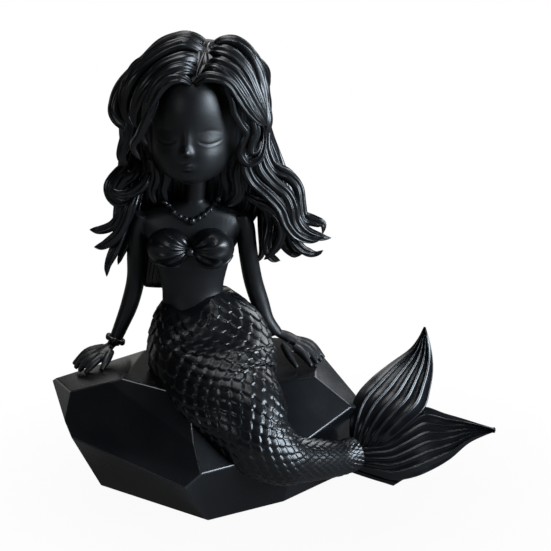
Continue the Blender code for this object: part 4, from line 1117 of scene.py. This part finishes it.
# Half width, half thickness and how far it turns to the front, then the route.
LOCKS = {
    "crown left back": (4.6, 2.4, 0.0, (-21.5, 9.0, 147.0), (-27.5, 8.0, 149.8), (-35.5, 8.0, 147.8),
                        (-42.0, 8.0, 142.4), (-46.0, 7.0, 136.0), (-48.4, 5.0, 128.0),
                        (-49.2, 3.0, 120.0), (-49.2, 2.0, 114.0)),
    "crown left": (3.6, 2.4, 0.0, (-21.8, 4.0, 147.0), (-27.4, 4.0, 150.4), (-32.2, 4.6, 149.4),
                   (-37.0, 4.6, 147.0), (-41.6, 3.6, 143.2), (-45.6, 2.4, 139.6),
                   (-48.8, 0.8, 135.6), (-50.9, -0.6, 131.6), (-51.6, -1.8, 127.8),
                   (-49.8, -3.2, 124.6), (-46.4, -4.6, 123.4), (-43.6, -5.6, 124.4)),
    "crown left middle": (3.2, 2.2, 0.0, (-22.3, -1.5, 145.2), (-26.0, -2.0, 148.4),
                          (-30.4, -2.4, 149.2), (-36.9, -3.4, 146.4), (-43.0, -4.4, 141.4),
                          (-46.8, -4.6, 136.2), (-48.2, -5.0, 130.8), (-47.4, -5.8, 126.4),
                          (-45.2, -6.6, 123.2)),
    "crown left front": (3.0, 2.0, 0.2, (-23.4, -5.0, 143.0), (-26.6, -7.4, 145.4),
                         (-30.6, -9.0, 145.2), (-35.8, -10.0, 142.8), (-40.6, -10.4, 137.6),
                         (-43.6, -10.0, 132.4), (-44.8, -9.6, 127.6), (-43.8, -9.6, 123.4)),
    "bang left": (2.8, 1.8, 0.4, (-24.6, -9.6, 141.0), (-27.6, -12.6, 143.2), (-31.6, -14.0, 142.8),
                  (-35.8, -14.2, 139.4), (-39.2, -13.6, 134.0), (-41.0, -12.6, 128.8),
                  (-41.4, -11.6, 124.6)),
    "bang left edge": (2.0, 1.4, 0.5, (-26.2, -13.4, 138.6), (-29.4, -15.2, 140.6),
                       (-33.0, -15.6, 140.2), (-36.4, -15.4, 137.4), (-39.0, -14.6, 133.0),
                       (-40.8, -13.0, 128.6), (-41.6, -11.8, 124.8)),
    "crown right back": (4.6, 2.4, 0.0, (-20.5, 9.0, 147.0), (-15.5, 8.0, 149.0), (-9.8, 8.0, 145.8),
                         (-5.6, 7.6, 139.6), (-3.6, 6.4, 131.6), (-2.8, 4.6, 123.6),
                         (-3.2, 3.0, 116.4)),
    "crown right": (3.4, 2.2, 0.0, (-20.6, 4.0, 146.8), (-17.2, 3.4, 149.4), (-13.0, 4.0, 148.8),
                    (-8.8, 3.6, 145.6), (-5.8, 2.8, 140.6), (-4.0, 1.8, 134.6), (-3.2, 0.6, 128.6),
                    (-2.4, -0.6, 123.6), (-3.8, -1.4, 118.4)),
    "crown right middle": (3.0, 2.0, 0.0, (-21.2, -1.0, 145.2), (-18.2, -4.0, 147.4),
                           (-13.4, -5.0, 146.0), (-9.2, -6.0, 141.4), (-6.6, -6.2, 135.6),
                           (-4.4, -6.0, 129.4), (-3.4, -5.6, 124.0)),
    "crown right front": (3.0, 2.0, 0.2, (-22.2, -5.4, 142.6), (-18.8, -9.4, 144.2),
                          (-13.6, -11.0, 142.0), (-10.0, -11.2, 137.2), (-7.2, -10.2, 132.0),
                          (-4.4, -8.8, 127.4), (-2.6, -7.6, 124.0)),
    "bang right": (2.6, 1.8, 0.4, (-23.2, -10.0, 140.6), (-19.6, -13.2, 142.6),
                   (-15.2, -14.2, 139.9), (-11.8, -14.0, 136.0), (-8.8, -12.8, 131.2),
                   (-5.6, -11.4, 126.8), (-3.2, -10.0, 124.6)),
    "bang right edge": (1.9, 1.3, 0.5, (-25.2, -13.8, 138.6), (-21.8, -15.6, 141.0),
                        (-17.0, -16.2, 140.6), (-13.6, -15.6, 138.4), (-10.8, -14.6, 134.2),
                        (-8.0, -13.4, 130.2), (-5.4, -12.2, 127.0), (-3.4, -10.8, 125.6)),
    "parting": (1.9, 1.3, 0.3, (-21.4, 8.0, 148.2), (-21.8, 3.0, 148.4), (-22.2, -2.0, 147.0),
                (-23.0, -6.6, 144.4), (-24.2, -10.6, 141.6), (-25.6, -13.4, 138.6)),
    "cheek strand right": (1.5, 1.2, 0.8, (-15.4, -15.2, 138.0), (-13.4, -14.6, 133.0),
                           (-12.8, -14.0, 129.6), (-10.8, -13.0, 125.6), (-9.0, -12.2, 122.6),
                           (-10.4, -12.0, 118.6), (-10.8, -11.6, 115.4), (-8.6, -11.5, 112.8),
                           (-5.2, -11.0, 114.0), (-3.7, -9.8, 117.4), (-3.4, -8.2, 121.0),
                           (-4.2, -6.6, 124.0)),
    "cheek curl right": (1.5, 1.2, 0.8, (-8.8, -12.4, 131.0), (-7.2, -11.8, 127.0),
                         (-6.2, -11.4, 122.8), (-7.4, -11.5, 119.0), (-7.6, -11.2, 116.2),
                         (-5.6, -10.4, 116.8), (-4.9, -9.4, 119.4)),
    "cheek strand left": (1.6, 1.2, 0.8, (-36.4, -14.2, 136.6), (-38.2, -14.0, 132.0),
                          (-40.8, -12.8, 126.4), (-43.2, -11.8, 121.6), (-45.2, -11.2, 118.8),
                          (-44.8, -10.8, 116.2), (-42.8, -10.0, 113.2)),
    "cheek curl left": (1.4, 1.1, 0.8, (-38.2, -13.6, 132.6), (-40.2, -12.8, 127.8),
                        (-42.0, -12.2, 123.4), (-42.0, -11.6, 120.6), (-40.4, -11.0, 117.8)),
    "temple strand left": (2.4, 1.7, 0.6, (-46.0, -4.0, 128.5), (-46.6, -4.6, 124.6),
                           (-47.6, -4.6, 120.2), (-49.0, -4.4, 116.2), (-49.4, -4.0, 112.8),
                           (-47.6, -3.4, 109.6)),
    "side right outer": (2.6, 1.8, 0.7, (-2.4, 4.0, 122.0), (-3.2, 3.0, 114.5), (-0.8, 2.4, 108.4),
                         (4.2, 1.8, 105.6), (7.4, 1.2, 101.8), (8.2, 0.6, 96.4), (9.2, 0.4, 92.2),
                         (12.6, 0.4, 90.8), (15.6, 0.0, 89.6), (15.4, -0.6, 86.6)),
    "side right inner": (2.4, 1.8, 0.8, (-4.4, -1.6, 118.0), (-5.0, -2.8, 110.8), (-1.4, -3.0, 105.2),
                         (3.4, -3.0, 101.0), (5.6, -3.0, 96.6), (6.6, -2.8, 91.4), (10.0, -2.4, 87.8),
                         (15.2, -1.6, 85.8), (18.2, -1.0, 85.4)),
    "side right": (2.2, 1.7, 0.8, (-7.6, -5.6, 116.5), (-9.6, -5.6, 111.4), (-7.6, -5.0, 105.8),
                   (-2.8, -4.8, 101.2), (1.4, -4.6, 96.6), (3.8, -4.4, 91.2), (7.0, -4.0, 87.4),
                   (11.8, -3.2, 85.4), (16.2, -2.6, 86.4)),
    "neck strand right": (1.8, 1.4, 0.8, (-11.4, -4.4, 113.0), (-12.2, -3.6, 107.0),
                          (-11.6, -2.4, 101.0), (-13.6, -2.0, 97.6), (-16.2, -1.6, 96.4)),
    "neck strand right inner": (1.6, 1.3, 0.8, (-15.0, -1.4, 112.0), (-16.4, -0.8, 106.5),
                                (-15.4, 0.2, 101.0), (-16.6, 1.2, 96.8)),
    "neck strand left": (2.0, 1.5, 0.8, (-40.2, -3.6, 112.5), (-39.0, -2.6, 106.5),
                         (-40.4, -1.4, 101.0), (-39.0, -0.6, 96.6)),
    "neck strand left inner": (1.6, 1.3, 0.8, (-36.4, -1.4, 112.0), (-35.2, -0.6, 106.5),
                               (-36.4, 0.4, 101.0), (-35.4, 1.4, 96.8)),
    "right curl": (1.9, 1.6, 0.8, (-10.0, -1.6, 100.6), (-6.6, -3.4, 98.8), (-2.4, -4.0, 96.9),
                   (1.0, -4.2, 93.4), (2.2, -4.0, 88.8), (1.2, -3.6, 84.4), (-1.2, -3.0, 80.8),
                   (-3.8, -2.4, 78.4)),
    "side right lower": (2.0, 1.6, 0.8, (1.0, 0.4, 98.5), (3.4, -1.0, 91.2), (5.2, -1.2, 85.4),
                         (8.6, -1.0, 81.6), (13.2, -0.4, 80.0)),
    "flank right": (3.6, 2.2, 0.0, (-3.6, 8.5, 128.0), (-3.0, 9.0, 118.0), (0.4, 9.0, 108.0),
                    (2.2, 8.4, 98.0), (3.6, 8.0, 88.0), (2.8, 7.4, 80.0)),
    "right long": (3.0, 2.2, 0.5, (-4.0, 9.0, 108.0), (-0.6, 9.0, 98.5), (1.8, 7.6, 89.0),
                   (2.6, 6.4, 82.4), (5.4, 5.4, 78.8), (8.8, 4.6, 78.4)),
    "right long inner": (2.4, 1.8, 0.6, (-4.5, 6.5, 98.0), (-2.0, 6.0, 89.0), (-2.8, 5.0, 82.0),
                         (-1.6, 4.2, 77.6), (1.6, 3.6, 76.4)),
    "right long back": (3.0, 2.2, 0.3, (-6.5, 13.0, 108.5), (-4.4, 12.4, 95.0), (-4.2, 11.0, 84.0),
                        (-4.6, 9.0, 77.6), (-6.2, 7.4, 74.8)),
    "right low flick": (1.6, 1.3, 0.6, (3.6, 4.6, 90.5), (6.2, 3.8, 84.4), (9.6, 3.0, 80.0),
                        (13.2, 2.6, 79.0), (15.8, 2.2, 80.4)),
    "side left outer": (2.6, 1.9, 0.7, (-46.4, 2.6, 115.0), (-48.0, 1.0, 109.8),
                        (-51.2, -0.6, 106.4), (-53.6, -1.6, 102.8), (-52.8, -2.2, 98.8),
                        (-49.2, -2.6, 97.4), (-45.6, -2.6, 99.4)),
    "side left front": (1.8, 1.5, 0.8, (-40.8, -4.4, 108.0), (-42.8, -4.8, 104.2),
                        (-46.8, -5.2, 101.6), (-50.6, -4.8, 101.2), (-53.0, -4.0, 102.6)),
    "side left inner": (2.0, 1.6, 0.7, (-43.6, 0.0, 112.0), (-45.2, -2.0, 107.6),
                        (-48.6, -2.8, 105.0), (-51.0, -3.2, 101.8), (-49.6, -3.6, 99.6),
                        (-46.2, -3.4, 100.4)),
    "left flick": (2.0, 1.6, 0.8, (-45.2, 0.0, 105.0), (-47.0, -1.8, 98.4), (-50.2, -2.0, 93.8),
                   (-53.2, -1.6, 89.8), (-57.2, -1.4, 88.2), (-60.8, -1.0, 88.2)),
    "side left": (2.0, 1.6, 0.8, (-44.4, -1.4, 101.6), (-46.8, -3.2, 96.8), (-48.6, -3.4, 92.0),
                  (-51.6, -3.0, 87.0), (-56.0, -2.6, 83.4), (-59.4, -2.2, 82.6)),
    "flank left": (3.2, 2.0, 0.0, (-47.4, 8.0, 128.0), (-49.0, 8.6, 116.0), (-50.4, 7.6, 104.0),
                   (-51.4, 6.8, 92.0), (-52.4, 5.8, 84.0), (-53.4, 4.6, 78.0)),
    "left long": (2.2, 1.7, 0.6, (-45.5, 4.0, 100.0), (-49.2, 2.4, 90.0), (-51.4, 1.2, 84.2),
                  (-53.4, 0.0, 80.0), (-55.2, -0.6, 76.0), (-55.6, -1.0, 72.2)),
    "left long inner": (2.2, 1.6, 0.5, (-44.8, 6.4, 96.0), (-48.6, 6.2, 84.0), (-50.8, 4.8, 78.8),
                        (-52.2, 3.4, 75.0)),
    "left long back": (3.0, 2.2, 0.3, (-42.0, 13.0, 112.0), (-47.4, 12.4, 98.0), (-50.0, 10.4, 86.5),
                       (-52.4, 7.6, 79.0)),
}
BACK_LOCKS = 7
BACK_LOCK_HALF_WIDTH = 4.4
BACK_LOCK_HALF_THICKNESS = 2.4
BACK_LOCK_WAVE = 1.6
BACK_LOCK_ROOT = (-22.5, 9.0, 146.8)
BACK_LOCK_HEIGHTS = (141.0, 132.0, 122.0, 112.0, 102.0, 92.0, 82.0, 73.0)
BACK_LOCK_DROP = 5.0
BACK_LOCK_FAN = 1.25
BACK_LOCK_REACH = 0.97
print("hair of", len(LOCKS), "locks and", BACK_LOCKS, "more down the back")


# %% Shape of a lock
HAIR_MIDDLE = Vector((-26.0, 5.0, 122.0))
LOCK_SIDES = 40
LOCK_SPAN = 0.7
LEAST_SPANS = 24
WIDE_LOCK = 3.1
NARROW_LOCK = 1.7
GROOVE_DEPTH = 0.55
GROOVE_DRIFT = 0.35
FINE_GROOVE_DEPTH = 0.06
ROOT_FULLNESS = 0.5
TIP_THINNING = 0.66
LOCK_SWELL = 0.10
UNDERSIDE_SHARE = 0.8


def lock_frame(place, along, facing):
    """Width and outward directions of a lock that lies on the hair core."""
    core = Vector((HAIR_MIDDLE.x, HAIR_MIDDLE.y, min(place.z, HAIR_MIDDLE.z)))
    outward = (place - core).normalized() + Vector((0.0, -facing, 0.0))
    outward = (outward - along * outward.dot(along)).normalized()
    return along.cross(outward), outward


def lock_crest(across, share, grooves, turn):
    """Height of the lock's outer face: a bold crest with grooves that drift along it."""
    drift = across + GROOVE_DRIFT * math.sin(2.6 * share + turn)
    groove = (0.5 + 0.5 * math.cos(math.pi * (grooves * drift + 1))) ** 1.5
    fine = math.cos(math.pi * (grooves * 3 + 1) * drift)
    return 1 - GROOVE_DEPTH * groove - FINE_GROOVE_DEPTH * fine


def lock_fullness(share, turn):
    """How full a lock is at a share of its length: thin at both ends, with soft swells."""
    full = min(1.0, ROOT_FULLNESS + 2.6 * share)
    if share > 0.5:
        full = 1 - TIP_THINNING * (2 * share - 1) ** 2.2
    blunt_end = min(1.0, math.sqrt(14 * (1 - share) + 0.02))
    return full * blunt_end * (1 + LOCK_SWELL * math.sin(9 * share + turn))


def lock(store, half_width, half_thickness, facing, points, turn):
    """One lock as a grooved loft; turn shifts its grooves and its swells."""
    length = sum(math.dist(a, b) for a, b in zip(points, points[1:]))
    spans = max(LEAST_SPANS, round(length / LOCK_SPAN))
    path = smooth_path(points, spans)
    frames = directions(path, (0.0, 0.0, 1.0))
    grooves = 3 if half_width > WIDE_LOCK else 2 if half_width > NARROW_LOCK else 1
    rings = []
    for here in range(spans + 1):
        share = here / spans
        place = Vector(path[here])
        side, outward = lock_frame(place, frames[here][0], facing)
        full = lock_fullness(share, turn)
        ring = []
        for corner in range(LOCK_SIDES):
            angle = 2 * math.pi * corner / LOCK_SIDES
            across = math.cos(angle)
            up = math.sin(angle)
            if up > 0:
                up = up ** 0.8 * lock_crest(across, share, grooves, turn)
            else:
                up *= UNDERSIDE_SHARE
            ring.append(place + (side * half_width * across + outward * half_thickness * up) * full)
        rings.append(ring)
    store.loft(rings)


for share in (0.0, 0.5, 1.0):
    print("at", share, "of its length a lock is", round(lock_fullness(share, 0.0), 2), "full")


# %% Hair core and side masses
CORE_GROOVES = 44
CORE_GROOVE_DEPTH = 0.9
MASS_GROOVES = 14
MASS_GROOVE_DEPTH = 0.7


def grooved(ring, centre, grooves, depth, turn):
    """The ring with shallow upright grooves pressed into it."""
    made = []
    for count, point in enumerate(ring):
        angle = 2 * math.pi * count / len(ring)
        groove = abs(math.sin(grooves * angle / 2 + turn)) - 1
        outward = (point - centre).normalized()
        made.append(point + outward * depth * groove)
    return made


core_store = Store()
stations = [(x, 0.0, z, half_width, front, back) for z, x, half_width, front, back in HAIR_CORE]
core_rings = []
for x, _, z, half_width, front, back in smooth_path(stations, spans=110):
    middle_y = front + CORE_MIDDLE_SHARE * (back - front)
    ring = level_ring(z, x, middle_y, half_width, front, back, sides=240)
    depth = min(CORE_GROOVE_DEPTH, half_width * 0.06)
    turn = 0.5 * math.sin(z * 0.11)
    core_rings.append(grooved(ring, Vector((x, middle_y, z)), CORE_GROOVES, depth, turn))
core_store.loft(core_rings)
for mass, flat in ((SIDE_MASS_RIGHT, 0.7), (SIDE_MASS_LEFT, 0.8)):
    middles = [Vector(place[:3]) for place in smooth_path(mass, spans=60)]
    core_store.loft([
        grooved(ring, middle, MASS_GROOVES, MASS_GROOVE_DEPTH, 0.9 * math.sin(count * 0.08))
        for count, (ring, middle) in enumerate(zip(tube_rings(mass, 96, 60, flat), middles))
    ])
piece("hair_core", core_store.points, core_store.faces, hair_resin)


# %% Locks down the back
def back_route(count):
    """The points of one lock on the back of the core, by its number from the left."""
    fan = -1 + 2 * count / (BACK_LOCKS - 1)
    angle = BACK_LOCK_FAN * fan
    points = [(BACK_LOCK_ROOT[0] - fan, *BACK_LOCK_ROOT[1:])]
    for step, z in enumerate(BACK_LOCK_HEIGHTS, 1):
        x, half_width, front, back = at_height(HAIR_CORE, z)
        middle_y = front + CORE_MIDDLE_SHARE * (back - front)
        wave = BACK_LOCK_WAVE * math.sin(step * 1.5 + count)
        points.append((
            x + half_width * math.sin(angle) * BACK_LOCK_REACH + wave,
            middle_y + (back - middle_y) * math.cos(angle) * BACK_LOCK_REACH,
            z - BACK_LOCK_DROP * (1 - fan ** 2) * step / len(BACK_LOCK_HEIGHTS),
        ))
    return points


back_store = Store()
for count in range(BACK_LOCKS):
    lock(back_store, BACK_LOCK_HALF_WIDTH, BACK_LOCK_HALF_THICKNESS, 0.0, back_route(count), count * 1.3)
piece("hair_back", back_store.points, back_store.faces, hair_resin)

# %% Locks on top and at the sides
locks_store = Store()
for count, (half_width, half_thickness, facing, *points) in enumerate(LOCKS.values()):
    lock(locks_store, half_width, half_thickness, facing, points, count * 0.7)
piece("hair_locks", locks_store.points, locks_store.faces, hair_resin)

# %% [markdown]
# ## Floor, light and camera
#
# The photograph is taken on a white sweep. A satin black object is drawn mostly by
# what it mirrors, and a white room all round would turn it grey. So the floor and the
# world are white to the camera alone. Glossy rays see only a small share of the
# floor's white, because resin is neither metal nor glass, and the world is dim.
#
# One lamp could light the object but would leave most of it without a form. Seven soft
# boxes draw it with their mirror images: the one on the right gives the pale band down
# that side, the top box the crown and the scales, and those behind it the outlines.
# Their watts are few because the object is only 15 cm tall.

# %% White floor
FLOOR_GREY = (0.14, 0.14, 0.14, 1)
WHITE = (1, 1, 1, 1)
SHADOW_REACH = (0.05, 0.13)
NEAR_WHITE = 0.95
MIRRORED_WHITE = 0.045


def stage_material():
    """A pale floor: grey in the light of the lamps, white to the camera, least near the object."""
    material = bpy.data.materials.new("white sweep")
    material.use_nodes = True
    tree = material.node_tree
    shader = tree.nodes["Principled BSDF"]
    shader.inputs["Base Color"].default_value = FLOOR_GREY
    shader.inputs["Roughness"].default_value = 0.9
    shader.inputs["Specular IOR Level"].default_value = 0.1
    glow = tree.nodes.new("ShaderNodeEmission")
    glow.inputs["Color"].default_value = WHITE
    seen = tree.nodes.new("ShaderNodeLightPath").outputs
    far = tree.nodes.new("ShaderNodeVectorMath")
    far.operation = "LENGTH"
    tree.links.new(tree.nodes.new("ShaderNodeTexCoord").outputs["Object"], far.inputs[0])
    fade = map_range(tree, far.outputs["Value"], *SHADOW_REACH)
    fade.inputs["To Min"].default_value = NEAR_WHITE
    white_share = product(tree, seen["Is Camera Ray"], fade.outputs["Result"])
    mirrored = tree.nodes.new("ShaderNodeMath")
    mirrored.operation = "MULTIPLY_ADD"
    mirrored.inputs[1].default_value = MIRRORED_WHITE
    tree.links.new(seen["Is Glossy Ray"], mirrored.inputs[0])
    tree.links.new(white_share, mirrored.inputs[2])
    mix = tree.nodes.new("ShaderNodeMixShader")
    tree.links.new(mirrored.outputs[0], mix.inputs["Fac"])
    tree.links.new(shader.outputs[0], mix.inputs[1])
    tree.links.new(glow.outputs[0], mix.inputs[2])
    tree.links.new(mix.outputs[0], tree.nodes["Material Output"].inputs["Surface"])
    return material


floor_data = bpy.data.meshes.new("floor")
floor_data.from_pydata([(-4, -4, 0), (4, -4, 0), (4, 4, 0), (-4, 4, 0)], [], [(0, 1, 2, 3)])
floor_data.materials.append(stage_material())
floor = bpy.data.objects.new("floor", floor_data)
bpy.context.scene.collection.objects.link(floor)
print("floor", floor_data.materials[0].name)

# %% White world, dim to all but the camera
ROOM_COLOUR = (0.75, 0.78, 0.84, 1)
ROOM_STRENGTH = 0.018

world = bpy.data.worlds.new("white room")
bpy.context.scene.world = world
world.use_nodes = True
sky = world.node_tree
dim = sky.nodes["Background"]
dim.inputs["Color"].default_value = ROOM_COLOUR
dim.inputs["Strength"].default_value = ROOM_STRENGTH
white = sky.nodes.new("ShaderNodeBackground")
white.inputs["Color"].default_value = WHITE
world_mix = sky.nodes.new("ShaderNodeMixShader")
ray = sky.nodes.new("ShaderNodeLightPath")
sky.links.new(ray.outputs["Is Camera Ray"], world_mix.inputs["Fac"])
sky.links.new(dim.outputs[0], world_mix.inputs[1])
sky.links.new(white.outputs[0], world_mix.inputs[2])
sky.links.new(world_mix.outputs[0], sky.nodes["World Output"].inputs["Surface"])
print("world strength", ROOM_STRENGTH, "and 1 to the camera")

# %% Soft boxes
MIDDLE = (0, 0, 0.07)
CHEST = (0, 0, 0.09)
# Place, aim, size, watts and colour.
SOFT_BOXES = {
    "right box": ((0.58, -0.28, 0.28), CHEST, 0.32, 8.4, (0.76, 0.88, 1.0)),
    "left front box": ((-0.38, -0.50, 0.24), MIDDLE, 0.12, 0.20, (0.9, 0.95, 1.0)),
    "top box": ((-0.08, 0.14, 0.75), MIDDLE, 0.38, 3.0, (0.97, 0.98, 1.0)),
    "front top box": ((0.05, -0.21, 0.66), MIDDLE, 0.10, 0.30, (0.94, 0.97, 1.0)),
    "right back box": ((0.42, 0.62, 0.46), MIDDLE, 0.34, 1.7, (0.9, 0.95, 1.0)),
    "left back box": ((-0.65, 0.60, 0.14), MIDDLE, 0.40, 0.28, (1, 0.99, 0.95)),
    "back box": ((-0.12, 0.90, 0.32), MIDDLE, 0.40, 0.36, (1, 0.99, 0.95)),
}

for name, (place, aim, size, watts, colour) in SOFT_BOXES.items():
    light = bpy.data.lights.new(name, "AREA")
    light.size = size
    light.energy = watts
    light.color = colour
    lamp = bpy.data.objects.new(name, light)
    lamp.location = place
    lamp.rotation_euler = (Vector(aim) - Vector(place)).to_track_quat("-Z", "Y").to_euler()
    bpy.context.scene.collection.objects.link(lamp)
print(len(SOFT_BOXES), "soft boxes,", round(sum(row[3] for row in SOFT_BOXES.values()), 2), "W in all")

# %% Camera
CAMERA_TILT = math.radians(16)
CAMERA_DISTANCE = 0.6061
CAMERA_AIM = Vector((0, 0, 72.3)) * MM + OFFSET
CAMERA_LENS = 120
SENSOR_WIDTH = 36

camera_data = bpy.data.cameras.new("camera")
camera_data.lens = CAMERA_LENS
camera_data.sensor_width = SENSOR_WIDTH
camera = bpy.data.objects.new("camera", camera_data)
back_off = Vector((0, -math.cos(CAMERA_TILT), math.sin(CAMERA_TILT)))
camera.location = CAMERA_AIM + back_off * CAMERA_DISTANCE
camera.rotation_euler = (-back_off).to_track_quat("-Z", "Y").to_euler()
bpy.context.scene.collection.objects.link(camera)
bpy.context.scene.camera = camera
bpy.context.scene.view_settings.view_transform = "Standard"
print("camera stands at", [round(c, 3) for c in camera.location], "m")
